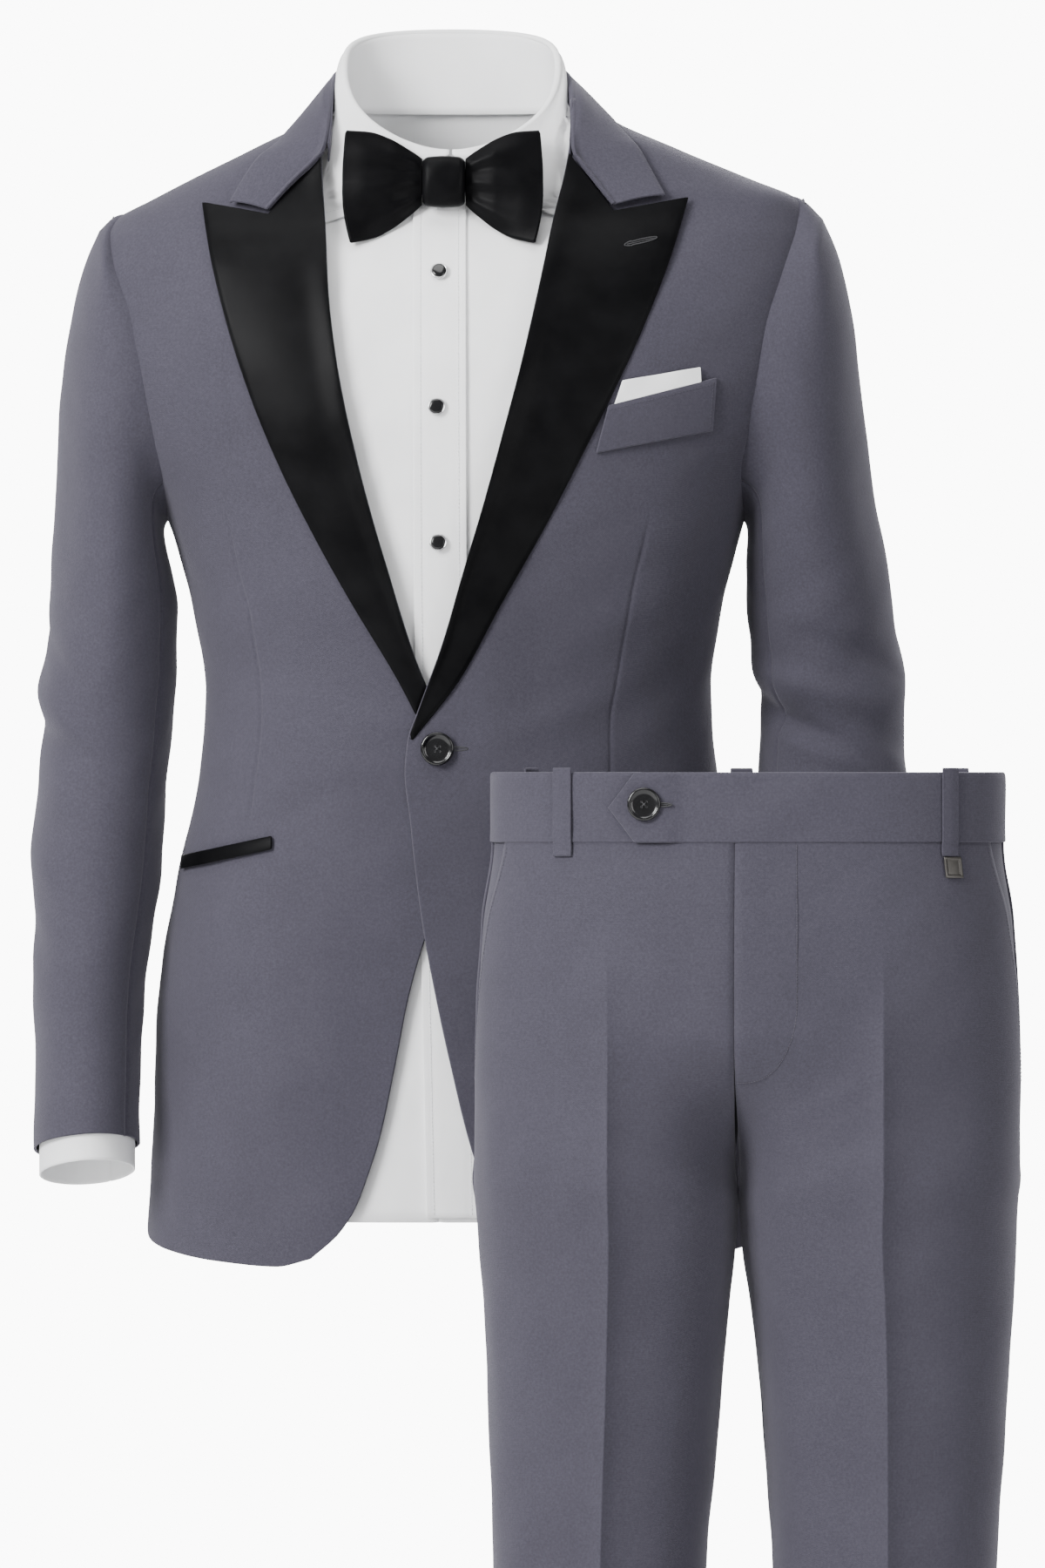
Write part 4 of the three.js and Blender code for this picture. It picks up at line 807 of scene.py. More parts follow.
for _ in range(24):  # evens out the fold's line along the neck
    grid[1:-1] = grid[1:-1] / 2 + (grid[:-2] + grid[2:]) / 4
core = (0, 0, -60)
shell("collar", grid, COLLAR_WALL, core, wool, wool, "jacket_collar_fall", ("end",), 0.6)

at = lerp(*STAND_SPAN, np.linspace(0, 1, 120))
fold = fold_point(at)
top = fold - outward(fold) * (2 * roll_size(at) - 0.5)[:, None] - UP * roll_size(at)[:, None]
foot = top.copy()
foot[:, 2] = np.minimum(-5.6, top[:, 2] - 13)
grid = lerp(top[:, None, :], foot[:, None, :], np.linspace(0, 1, 8)[None, :, None])
shell("collar_stand", grid, STAND_WALL, (0, 0, 0), wool, wool, "jacket_collar_stand")


# Sleeves.
sleeve_curves = {}
for side in SIDES:
    table = dict(SLEEVE[side])
    table["index"] = np.arange(1, SLEEVE_END + 1).astype(float)
    sleeve_curves[side] = curves(table, "index")


def fold_depth(side, angle, z):
    total = 0
    for at, height, reach, width, rise, depth in FOLDS[side]:
        round_ = (angle - at + 540) % 360 - 180
        along = z - height - rise * (round_ / reach)
        total = total + depth * np.exp(-((round_ / reach) ** 2) - (along / width) ** 2)
    return total


def armhole(side, phase):
    """The sleeve's seam line, tucked a little under the edge of the body panels."""
    tip = SHOULDER_TIP[side]
    z = (tip + UNDERARM) / 2 + (tip - UNDERARM + 5) / 2 * np.cos(np.radians(phase))
    sign = SIGN[side]
    spread = ARMHOLE_SPREAD * np.sin(np.radians(phase)) + 1.2 * np.sign(np.sin(np.radians(phase)))
    return on_torso(sign * (90 - spread), z, -1.8)


def sleeve_point(side, step, angle, out=0.0, drop=0.0):
    row = sleeve_curves[side]
    i = np.maximum(step, 1)
    outer = points(row["outerX"](i), 0, row["outerZ"](i))
    inner = points(row["innerX"](i), 0, row["innerZ"](i))
    half = (outer - inner) / 2
    p = (outer + inner) / 2
    sine, cosine = np.sin(np.radians(angle)), np.cos(np.radians(angle))
    folds = fold_depth(side, angle, p[..., 2]) * smooth(step / 3)
    deep = row["depth"](i) + out
    p = p + half * ((1 + (out + folds) / np.linalg.norm(half, axis=-1)) * cosine)[..., None]
    y = row["midY"](i) - (deep + folds) * sine
    z = p[..., 2] + row["slant"](i) * deep * sine - drop
    p = points(p[..., 0], y, z)
    start = armhole(side, angle)
    away = -1.5 * np.maximum(0, cosine) ** 2 * SIGN[side]
    start = start + points(away, 0, 0)
    share = np.clip(step, 0, 1)
    head = lerp(start, p, np.asarray(share)[..., None])
    full = 2.2 * np.sin(np.pi * np.clip(step, 0, 1) ** 0.7) * np.maximum(0, cosine)
    head = head + points(full * (0.6 if side == "left" else -0.6), 0, full * 0.8)
    rope = 1.7 * smooth(share * 14) * smooth((1 - share) * 1.3)
    away = outward(start) * [0.5, 0.85, 0] + np.array([0, 0, 0.35]) * np.maximum(0, cosine)[..., None]
    head = head + away * rope[..., None]
    return np.where((np.asarray(step) >= 1)[..., None], p, head)


def eased(grid, angle, last, passes):
    """Evens out the rows where the sleeve head runs into the arm, but not over the shoulder tip."""
    grid = grid.copy()
    row = np.arange(len(grid))[:, None]
    at_tip = smooth(np.cos(np.radians(angle)) * 2 - 0.6)
    weight = smooth(row / 4) * smooth((last - row) / 12) * (1 - at_tip)
    weight = weight[1:-1, :, None] * 0.5
    for _ in range(passes):
        grid[1:-1] += weight * ((grid[:-2] + grid[2:]) / 2 - grid[1:-1])
    return grid


def sleeve_part(side, name, start, end, count):
    """The top or under sleeve, between two seams given in degrees round the arm."""
    head = np.array([0, 0.02, 0.04, 0.06, 0.09, 0.13, 0.18, 0.25, 0.35, 0.5, 0.65, 0.82])
    steps = np.concatenate([head, 1 + (SLEEVE_END - 1) * shares(128, 0.003, "end")])
    step, turn = rows_by(steps, lerp(start, end, shares(count, 0.012)))
    p = sleeve_point(side, step, turn)
    uneven = (0.4 * ripple(p, 80, 7) + 0.22 * ripple(p, 34, 8)) * smooth(step / 2)
    grid = eased(sleeve_point(side, step, turn, uneven), turn, 40, 140)
    core = (245 if side == "left" else -230, 0, -380)
    node = f"sleeve_{side}_{name}"
    shell(f"arm_{side}_{name}", grid, SLEEVE_WALL, core, wool, lining, node, sink=("start", "end"))


for side in SIDES:
    sleeve_part(side, "top", -109.8, 139.8, 84)
    sleeve_part(side, "under", 140.2, 249.8, 42)
    drops = np.concatenate([np.zeros(14), np.linspace(0, CUFF_SHOWS, 10)[1:]])[:, None]
    steps = np.concatenate([np.linspace(11.6, SLEEVE_END, 14), np.full(9, float(SLEEVE_END))])[:, None]
    step, drop, turn = np.broadcast_arrays(steps, drops, np.linspace(-118, 241, 90)[None, :])
    grid = sleeve_point(side, step, turn, -CUFF_INSET, drop)
    core = (245 if side == "left" else -240, -35, -670)
    shell(f"cuff_{side}", grid, CUFF_WALL, core, shirting, shirting, f"shirt_cuff_{side}")


# The shirt.
def shirt_inset(z):
    return SHIRT_INSET + 5 * smooth((z + 125) / 50)


def on_shirt(angle, z, out=0):
    return on_torso(angle, z, out - shirt_inset(z))


def on_shirt_front(x, z, out=0):
    return on_front(x, z, out - shirt_inset(z))


NECK_HALF = 76
NECK_SIDE = -13
NECK_DIP = (33, 28)


def neck_seam(angle, out=0):
    front = np.maximum(0, np.cos(np.radians(angle)))
    z = NECK_SIDE - NECK_DIP[0] * front - NECK_DIP[1] * front * front
    ahead = on_shirt_front(NECK_HALF * np.sin(np.radians(angle)), z, out)
    behind = on_shirt(angle, z, out - 2.5)
    return np.where((front > 0)[..., None], ahead, behind)


def shirt_start(side, z):
    """Where the shirt's front begins at a height: along the neck seam, then at the middle."""
    a, b = NECK_DIP
    front = (np.sqrt(a * a + 4 * b * (NECK_SIDE - np.maximum(z, -74))) - a) / (2 * b)
    reach = NECK_HALF * np.sqrt(np.maximum(0, 1 - front * front))
    return CENTRE_FRONT * smooth((-20 - z) / 54) + SIGN[side] * (reach + 0.3)


for side in SIDES:
    sign = SIGN[side]
    upper, middle = np.linspace(-18, -76, 36)[:-1], np.linspace(-76, -420, 80)[:-1]
    z = np.concatenate([upper, middle, np.linspace(-420, SHIRT_HEM, 36)])[:, None]
    start = angle_at(shirt_start(side, z), z, -shirt_inset(z))
    u = (np.linspace(0, 1, 40) ** 1.2)[None, :]
    angle = lerp(start, sign * 89.8, u)
    p = on_shirt(angle, z)
    creases = 0.55 * ripple(p, 60, 9) + 0.35 * ripple(p, 26, 10)
    grid = on_shirt(angle, z, creases * smooth(u * 5))
    shell(f"shirt_{side}", grid, SHIRT_WALL, CORE, shirting, shirting, f"shirt_front_{side}")
z = np.linspace(-10, SHIRT_HEM, 76)[:, None]
angle = np.linspace(90.3, 269.7, 62)[None, :]
grid = on_shirt(angle, z, 0.5 * ripple(on_shirt(angle, z), 70, 11))
shell("shirt_rear", grid, SHIRT_WALL, CORE, shirting, shirting, "shirt_back")

placket_edge = curves(PLACKET, "z")
z = np.linspace(-79, SHIRT_HEM + 3, 170)[:, None]
u = shares(14, 0.05)[None, :]
x = lerp(placket_edge["start"](z), placket_edge["end"](z), u)
puckers = 0.12 * np.sin(z * 0.55 + 3 * u) * (np.abs(u - 0.5) > 0.3)
grid = on_shirt_front(x, z, 2.6 + puckers - 0.35 * bell(np.abs(u - 0.5) - 0.36, 0.035))
shell("placket", grid, SHIRT_WALL, CORE, shirting, shirting, "shirt_placket", held="laid")


def shirt_fold(angle, out=0.0):
    p = ring(angle, 0, 70 + out, 57 + out, 60 + out)
    side = np.cos(np.radians(angle))
    p[..., 2] = 15 - 42.5 * side - 16.5 * side * side
    return p


angle = np.linspace(1, 359, 150)
seam = neck_seam(angle, -3) + np.array([0, 0, -1.6])
grid = lerp(shirt_fold(angle)[:, None, :], seam[:, None, :], np.linspace(0, 1, 12)[None, :, None])
shell("shirt_stand", grid, 1.2, (0, 0, -20), shirting, shirting, "shirt_collar_stand")

leaf_edge = curves(LEAF_EDGE, "at")


def leaf(angle, u, extra=0.0):
    """The folded leaf: u below 0 rolls over the fold to the inside, and 1 is the free edge."""
    at = np.minimum(angle, 360 - angle)
    mirror = np.where(angle > 180, -1, 1)
    edge = points(leaf_edge["x"](at) * mirror, leaf_edge["y"](at), leaf_edge["z"](at))
    middle = shirt_fold(angle, 0.8) + np.array([0, 0, -0.6])
    out = outward(middle)
    turn = np.radians(np.clip(-u, 0, 1) * 205)[..., None]
    roll = middle + out * 2.3 * np.cos(turn) + np.array([0, 0, 2.3]) * np.sin(turn)
    run = np.clip(u, 0, 1)
    p = lerp(middle + out * 2.3, edge, run[..., None])
    away = 1.8 * np.sin(np.pi * run**0.6) + extra
    p = p + outward(p) * away[..., None]
    p = clear_of(p, 1.8 - shirt_inset(p[..., 2]) + 0.6 * run)
    return np.where((u < 0)[..., None], roll, p)


half = np.unique(np.concatenate([np.linspace(1, 180, 96), [44, 45, 46, 47, 48, 50]]))
angles = np.concatenate([half, 360 - half[-2::-1]])
runs = np.concatenate([np.linspace(-1, 0, 12)[:-1], shares(26, 0.03, "end")])
angle, u = rows_by(angles, runs)
stitched = -0.3 * bell(u - LEAF_SEAM, 0.02)
grid = leaf(angle, u, stitched)
shell("shirt_leaf", grid, LEAF_WALL, (0, 0, -40), shirting, shirting, "shirt_collar_fall")


# The bow tie: wings with pleats that fan from the knot.
def bow_wing(side):
    sign = SIGN[side]
    u, t = rows_by(shares(46, 0.02), np.linspace(0, 1, 60))
    v = 1 - 2 * t
    end = BOW["reach"][side] - np.where(v > 0, 2.2, 5.7) * v * v
    pleat = 1.8 * np.cos(3 * np.pi * v) * (1 - u) * smooth(u * 5)
    fine = 1.1 * bell(v - 0.28 + 0.1 * u, 0.1) * bell(u, 0.45)
    fine = fine + 0.9 * bell(v + 0.36 - 0.1 * u, 0.1) * bell(u, 0.5)
    swell = curve(WING, "share", "swell")(u)
    z = BOW["z"] + curve(WING, "share", "half")(u) * v - 3 * u
    y = BOW["y"] - swell * (1 - 0.55 * v * v) - pleat - fine * smooth(u * 5)
    y = y - 0.36 * np.maximum(0, BOW["z"] - z) * u
    grid = points(BOW["x"] + sign * lerp(14.4, end, u), y, z)
    core = (30 * sign - 4, 0, -64)
    shell(f"bow_{side}", grid, BOW["thick"], core, satin, satin, f"bow_wing_{side}", held="folded")


for side in SIDES:
    bow_wing(side)


def side_faces(count, n):
    """The faces between rings of n points each."""
    return [
        (j * n + i, j * n + (i + 1) % n, (j + 1) * n + (i + 1) % n, (j + 1) * n + i)
        for j in range(count - 1) for i in range(n)
    ]


t = shares(36, 0.02)[:, None]
a = np.linspace(0, 2 * np.pi, 73)[None, :-1]
x = BOW["x"] + BOW["width"] * (t - 0.5)
front = curve(KNOT, "share", "front")(t)
dimple = 0.35 * np.sin(9 * t + 2 * a) * np.clip(np.sin(a), 0, 1)
deep = np.where(np.sin(a) > 0, front, 2.2) - dimple
y = BOW["y"] - 4.5 - deep * np.sign(np.sin(a)) * np.abs(np.sin(a)) ** 0.6
z = BOW["z"] + curve(KNOT, "share", "half")(t) * np.cos(a)
verts = points(x, y, z)
count, sides = verts.shape[:2]
ends = [tuple(range(sides - 1, -1, -1)), tuple(range((count - 1) * sides, count * sides))]
faces = side_faces(count, sides) + ends
single("bow_centre", verts.reshape(-1, 3), faces, satin, "bow_knot", closed=True)


# Flat trims on the jacket.
def patch_points(corners, u, v, lift):
    a, b, c, d = corners
    x, z = (lerp(lerp(a[k], b[k], u), lerp(c[k], d[k], u), v) for k in (0, 1))
    return on_front(x, z, lift + body_fold(on_front(x, z)))


def patch(name, corners, thickness, lift, material, node, sink=(), wave=0.0, bulge=0.0):
    v, u = rows_by(shares(18, 0.04), shares(46, 0.015))
    raised = wave * np.sin(u * 9 + 1) * (1 - v) + bulge * (np.sqrt(1 - (2 * v - 1) ** 2) - 0.5)
    grid = patch_points(corners, u, v, lift + thickness + raised)
    shell(name, grid, thickness, CORE, material, material, node, sink, 0.5, held="laid")


WELT = [(104, -212.5), (174.8, -194), (96, -243), (172.5, -228)]
WELT_SEAMS = {
    "welt_seam_end": ((0.97, 0.06), (0.97, 0.94)),
    "welt_seam_top": ((0.02, 0.1), (0.97, 0.1)),
}
SQUARE = [(113, -196), (164, -187), (108, -211), (164.5, -196.2)]
JETS = {
    "left": [(118, -494), (184, -507), (118, -503), (184, -516)],
    "right": [(-118, -494), (-178.5, -507), (-118, -503), (-178.5, -516)],
}
patch("welt", WELT, 2, 0.7, wool, "breast_welt", sink=("top",))
patch("square", SQUARE, 1.4, 0.9, shirting, "pocket_square", wave=0.6)
for side in SIDES:
    patch(f"jet_{side}", JETS[side], 1.6, 1.4, satin, f"hip_jet_{side}", bulge=0.9)


# Buttons and studs, turned round an axis out of the front.
def turned_frame(centre, tilt):
    axis = np.array([0, -1, tilt], float)
    axis /= np.linalg.norm(axis)
    across = np.array([1.0, 0, 0])
    return centre, axis, across, np.cross(axis, across)


def turned(name, centre, tilt, profile, bands, materials, node, sides=56):
    """A form turned round an axis. `bands` gives each ring's place in the materials."""
    centre, axis, across, up = turned_frame(centre, tilt)
    a = np.linspace(0, 2 * np.pi, sides + 1)[:-1]
    rings = [
        centre + axis * h + (across * np.cos(a)[:, None] + up * np.sin(a)[:, None]) * r
        for r, h in profile
    ]
    verts = np.concatenate(rings + [centre[None, :] + axis * profile[-1][1]])
    last = (len(rings) - 1) * sides
    faces = side_faces(len(rings), sides)
    faces += [(last + i, last + (i + 1) % sides, len(verts) - 1) for i in range(sides)]
    faces.append(tuple(range(sides - 1, -1, -1)))
    slots = np.repeat([*bands[:len(rings) - 1], bands[-1]], sides).tolist() + [bands[0]]
    obj = mesh_object(name, verts, faces, slots, materials, verts[:, [0, 2]])
    fix_normals(obj)
    ride(obj, node)


def add_holes(name, centre):
    """Four sewing holes and the crossed thread through them, on one small mesh."""
    centre, axis, across, up = turned_frame(centre, 0)
    height, spread, radius = HOLE["height"], HOLE["spread"], HOLE["radius"]
    verts, faces = [], []
    for sx, sy in ((-1, -1), (1, -1), (1, 1), (-1, 1)):
        middle = centre + axis * height + across * spread * sx + up * spread * sy
        first = len(verts)
        for k in range(12):
            a = 2 * math.pi * k / 12
            verts.append(middle + (across * math.cos(a) + up * math.sin(a)) * radius)
        verts.append(middle - axis * 0.3)
        faces += [(first + k, first + (k + 1) % 12, first + 12) for k in range(12)]
    for sx in (1, -1):
        a = centre + axis * (height + 0.25) + across * spread * -sx + up * -spread
        b = centre + axis * (height + 0.25) + across * spread * sx + up * spread
        tube(verts, faces, [a, (a + b) / 2 + axis * 0.5, b], 0.45)
    single(name, verts, faces, black_thread)


def tube(verts, faces, path, radius, sides=6):
    """Adds a closed thread along a path, finer at its two ends."""
    path = np.array(path, float)
    first, last = len(verts), len(path) - 1
    for k, p in enumerate(path):
        ahead = path[min(k + 1, last)] - path[max(k - 1, 0)]
        ahead = ahead / max(np.linalg.norm(ahead), 1e-9)
        side = np.cross(ahead, [0.31, 0.87, 0.38])
        side /= np.linalg.norm(side)
        up = np.cross(ahead, side)
        size = radius * (0.45 if k in (0, last) else 1)
        for i in range(sides):
            a = 2 * math.pi * i / sides
            verts.append(p + (side * math.cos(a) + up * math.sin(a)) * size)
    new = side_faces(len(path), sides)
    new += [tuple(range(sides - 1, -1, -1)), tuple(range(last * sides, last * sides + sides))]
    faces += [tuple(first + i for i in face) for face in new]


HOLE = dict(height=2.68, spread=1.6, radius=0.75)
BUTTON = [
    (8.2, 0), (9.6, 0.3), (10.7, 1.2), (11, 2.1), (10.9, 2.9), (10.4, 3.5), (9.7, 3.7), (9.1, 3.55),
    (8.6, 3.1), (8.1, 2.75), (6.5, 2.6), (3.5, 2.55),
]
BUTTON_AT = (-8.6, -437)
button_at = on_front(*BUTTON_AT, LAP_LIFT + 0.4 + 1.0)
turned("front_button", button_at, 0, BUTTON, [0] * 12, [polished], "jacket_button")
add_holes("front_button_holes", button_at)

STUD = [
    (4.9, 0), (5.5, 0.3), (5.75, 1.0), (5.7, 1.7), (5.3, 2.1), (4.9, 2.1), (4.75, 1.9), (4.6, 2.3),
    (3.8, 2.65), (2.0, 2.85),
]
STUD_BANDS = [1] * 6 + [0] * 4
STUDS_AT = [(-7.5, -124, 0.5), (-9, -213, 0.1), (-8, -302, 0.1)]
for i, (x, z, tilt) in enumerate(STUDS_AT, 1):
    centre = on_shirt_front(x, z, 3.5)
    turned(f"stud_face_{i}", centre, tilt, STUD, STUD_BANDS, [polished, silver], f"stud_{i}", 48)


# Trousers, from their own middle and the top of the waistband.
hips = curves(HIPS, "z")
legs = {side: curves(LEG[side], "z") for side in SIDES}


def on_hips(angle, z, out=0):
    return ring(angle, z, hips["half"](z) + out, hips["front"](z) + out, hips["back"](z) + out)


def on_leg(side, angle, z, out=0):
    leg = legs[side]
    half = np.abs(leg["outer"](z) - leg["inner"](z)) / 2 + out
    p = ring(angle, z, half, leg["front"](z) + out, leg["back"](z) + out)
    return p + points((leg["outer"](z) + leg["inner"](z)) / 2, leg["midY"](z), 0)


def on_trousers(side, share, z, back, out=0, sharp=False):
    sign = SIGN[side]
    turn = -1 if back else 1
    middle = 180 if back else 0
    offset = 0 if back else -3.4 * (1 - share)
    hip = on_hips(middle + sign * turn * lerp(0.1, 89.8, share) + offset, z, out)
    leg = on_leg(side, middle + sign * turn * lerp(-89.7, 89.7, share), z, out)
    p = lerp(hip, leg, smooth((-165 - z) / 120)[..., None])
    crease_x = (legs[side]["outer"](z) + legs[side]["inner"](z)) / 2
    gap = np.abs(p[..., 0] - crease_x)
    ridge = 10.5 * np.exp(-gap / 13.0) if sharp else 7 * bell(gap, 16)
    p[..., 1] += (1 if back else -1) * ridge * smooth((-95 - z) / 135)
    return p


def crease_share(side, z, back):
    crease_x = (legs[side]["outer"](z) + legs[side]["inner"](z)) / 2
    is_short = lambda share: np.abs(on_trousers(side, share, z, back)[..., 0]) < np.abs(crease_x)
    low, high = bisect(is_short, np.zeros(z.shape), np.ones(z.shape), 30)
    return (low + high) / 2


def pocket_share(z):
    t = np.clip((-WAISTBAND_HEIGHT - z) / (205 - WAISTBAND_HEIGHT), 0, 1)
    return np.where(t < 1, lerp(66 / 90, 0.995, t), 1)


# Drape of the trouser fronts: x, z, length, width, slope, depth in the trousers' frame.
SEAT_FOLDS = [
    (-52, -212, 40, 9, -0.55, 1.6), (-60, -240, 44, 10, -0.42, -1.5), (44, -214, 40, 9, 0.55, 1.6),
    (54, -242, 44, 10, 0.42, -1.4), (-40, -262, 34, 9, -0.3, 1.2), (36, -264, 34, 9, 0.3, 1.2),
    (-112, -300, 16, 80, 0, 1.2), (116, -300, 16, 80, 0, 1.2), (-60, -520, 26, 26, 0.3, 1.2),
    (70, -540, 26, 26, -0.3, 1.2), (-120, -540, 26, 30, -0.2, -1.0), (116, -520, 26, 30, 0.2, -1.0),
]


def trouser_part(side, back):
    foot = -1075 if back else -1068
    z = np.concatenate([np.linspace(-44.5, -300, 90)[:-1], np.linspace(-300, foot, 110)])[:, None]
    crease = crease_share(side, z, back)
    end = np.ones(z.shape) if back else pocket_share(z)
    toward = 1 - (1 - np.linspace(0, 1, 30)) ** 1.6
    away = np.linspace(0, 1, 30)[1:] ** 1.5
    u = np.concatenate([crease * toward[None, :], lerp(crease, end, away[None, :])], axis=1)
    level = -1071.5 - foot
    z = z + level * np.abs(2 * u - 1) ** 1.5 * smooth((-900 - z) / 170)
    p = on_trousers(side, u, z, back)
    out = 0.35 * ripple(p, 90, 12) + 0.2 * ripple(p, 40, 13)
    under_seat = 1.1 * np.sin((z + 0.6 * np.abs(p[..., 0])) / 9) * bell(z + 268, 26)
    out = out + (under_seat if back else folds_at(SEAT_FOLDS, p))
    grid = on_trousers(side, u, z, back, out * smooth((-44 - z) / 30), sharp=True) + TROUSER_AT
    core = TROUSER_AT + [85 if side == "left" else -85, 10, -500]
    name = f"{'seat' if back else 'leg'}_{side}"
    node = f"trouser_{'back' if back else 'front'}_{side}"
    edges = ("start", "end") if back else ("start",)
    shell(name, grid, TROUSER_WALL, core, wool, lining, node, edges, 0.7)


for side in SIDES:
    trouser_part(side, False)
    trouser_part(side, True)
    z, u = rows_by(np.linspace(-44, -214, 60), np.linspace(0, 1, 16))
    grid = on_trousers(side, lerp(pocket_share(z) - 0.12, 1.03, u), z, False, -1.9) + TROUSER_AT
    core, node = TROUSER_AT + [0, 10, -130], f"pocket_facing_{side}"
    shell(f"pocket_{side}", grid, 1.4, core, wool, wool, node, held="laid")


def band_angle(x, out):
    return np.degrees(np.arcsin(np.clip(x / (hips["half"](-20.0) + out), -1, 1))) / 1.045


def band_left(u, v, extra=0.0):
    z = lerp(0, -WAISTBAND_HEIGHT, v)
    start = band_angle(lerp(TAB["tip"], TAB["corner"], np.abs(2 * v - 1)), BAND_OUT)
    angle = lerp(start, 179.8, u**1.25)
    p = on_hips(angle, z, BAND_OUT)
    lift = TAB["lift"] * smooth((-40 - p[..., 0]) / 18) * (p[..., 1] < 0)
    return on_hips(angle, z, BAND_OUT + lift + extra)


def band_right(u, v, extra=0.0):
    z = lerp(0, -WAISTBAND_HEIGHT, v)
    return on_hips(lerp(-24, -179.8, u), z, BAND_OUT + extra)


BAND_CORE = TROUSER_AT + [0, 0, -22]
for side, band, count, fine, seed in (
    ("left", band_left, 150, 0.0025, 14), ("right", band_right, 110, 0.003, 15),
):
    v, u = rows_by(np.union1d(shares(24, 0.02), [0.5] if side == "left" else []), shares(count, fine))
    uneven = 0.3 * ripple(band(u, v), 50, seed) * smooth(v * (1 - v) * 6)
    grid = band(u, v, uneven) + TROUSER_AT
    name, node = f"band_{side}", f"waistband_{side}"
    shell(name, grid, BAND_WALL, BAND_CORE, wool, lining, node, sink=("top",), depth=0.5)

# Half of a loop's width in degrees, for 11.5 mm at a waist of 140 mm in radius.
reach = 11.5 / 2 / 140 * (180 / math.pi)
for i, at in enumerate(LOOPS, 1):
    z = np.concatenate([np.linspace(3, -44, 40), np.linspace(-45, -53, 12)])[:, None]
    u = shares(14, 0.06)[None, :]
    away = BAND_OUT + 2 - smooth((-42 - z) / 6) * (BAND_OUT - 0.3)
    away = away + 0.35 * np.cos(np.pi * (u - 0.5)) ** 2
    p = on_hips(at + lerp(-reach, reach, u), np.minimum(z, 0), away)
    p[..., 2] = np.broadcast_to(z, p.shape[:2])
    name, node = f"loop_{i}", f"belt_loop_{i}"
    shell(name, p + TROUSER_AT, TROUSER_WALL, BAND_CORE, wool, wool, node, held="laid")
z, u = rows_by(np.linspace(-54, -67, 40), np.linspace(0, 1, 40))
inside = smooth((0.5 - np.abs(u - 0.5) - 0.09) / 0.05) * smooth((6.5 - np.abs(z + 60.5) - 1.2) / 0.6)
grid = on_hips(47 + lerp(-2.6, 2.6, u), z, 2.6 - 0.55 * inside) + TROUSER_AT
shell("loop_tag", grid, 1.3, TROUSER_AT + [0, 0, -60], gunmetal, gunmetal, "loop_end", held="")

waist_at = on_hips(band_angle(-68.5, 4), -20.0, BAND_OUT + TAB["lift"] + 0.6) + TROUSER_AT
smaller = [(r * 0.98, h) for r, h in BUTTON]
turned("waist_button", waist_at, 0, smaller, [0] * 12, [polished], "trouser_button")
add_holes("waist_button_holes", waist_at)


# Stitches: short raised threads along a line on the cloth.
def stitches(name, path, material, pitch=2.6, length=1.8, radius=0.22):
    path = np.asarray(path, float)
    step = np.linalg.norm(np.diff(path, axis=0), axis=1)
    along = np.concatenate([[0], np.cumsum(step)])
    verts, faces = [], []
    for at in np.arange(0, along[-1] - length, pitch):
        marks = np.linspace(at, at + length, 3)
        line = [np.array([np.interp(m, along, path[:, k]) for k in range(3)]) for m in marks]
        tube(verts, faces, line, radius, 5)
    single(name, verts, faces, material)


n = np.linspace(0, 1, 200)
z = lerp(-82, -744, n)
for side, u in (("right", 0.14), ("left", 0.86)):
    x = lerp(placket_edge["start"](z), placket_edge["end"](z), u)
    path = on_shirt_front(x, z, 2.75)
    stitches(f"placket_seam_{side}", path, white_thread, radius=0.2)
for side, span in (("right", (193, 345)), ("left", (15, 167))):
    path = leaf(np.linspace(*span, 200), np.full(200, LEAF_SEAM), 0.05)
    stitches(f"leaf_seam_{side}", path, white_thread, radius=0.18)
for side in SIDES:
    z = lerp(-48, -200, n)
    share = pocket_share(z) - 0.028
    path = on_trousers(side, share, z, False, SEAM_OUT) + TROUSER_AT
    stitches(f"pocket_seam_{side}", path, thread, radius=0.2)
turn = np.linspace(0, np.pi / 2, 60)[1:]
fly = np.concatenate([
    points(np.full(90, 30), 0, np.linspace(-46, -150, 90)),
    points(-9 + 39 * np.cos(turn) ** 0.7, 0, -150 - 49 * np.sin(turn) ** 1.2),
])
is_short = lambda share: on_trousers("left", share, fly[:, 2], False)[..., 0] < fly[:, 0]
low, high = bisect(is_short, np.zeros(len(fly)), np.full(len(fly), 0.6), 30)
fly_path = on_trousers("left", low, fly[:, 2], False, SEAM_OUT) + TROUSER_AT
stitches("fly_seam", fly_path, thread, radius=0.3, pitch=1.9, length=1.7)
k = np.linspace(0, 1, 60)
for name, (a, b) in WELT_SEAMS.items():
    path = patch_points(WELT, lerp(a[0], b[0], k), lerp(a[1], b[1], k), 2.85)
    stitches(name, path, thread, radius=0.18, pitch=2.2, length=1.4)


# Buttonholes: a slit with a raised thread edge.
def buttonhole(name, place, length, height):
    """`place(dx, dz)` gives the surface point at an offset along and across the slit."""
    verts, faces, outline = [], [], []
    for a in np.linspace(0, 2 * np.pi, 49)[:-1]:
        bulb = 1.45 if math.cos(a) < -0.55 else 1.0
        outline.append((math.cos(a) * length / 2, math.sin(a) * height / 2 * bulb))
    path = [place(x, z) for x, z in outline + outline[:2]]
    tube(verts, faces, path, 0.5)
    slit = [place(x, 0.0) for x in np.linspace(-length * 0.44, length * 0.44, 12)]
    tube(verts, faces, slit, 0.42)
    single(name, verts, faces, black_thread)


def on_lapel(dx, dz):
    x = 125 + dx * 0.97 - dz * 0.24
    z = -103.5 + dx * 0.24 + dz * 0.97
    return on_front(x, z, lap(x) + LAPEL_LIFT + lapel_proud(z) + 1.3)


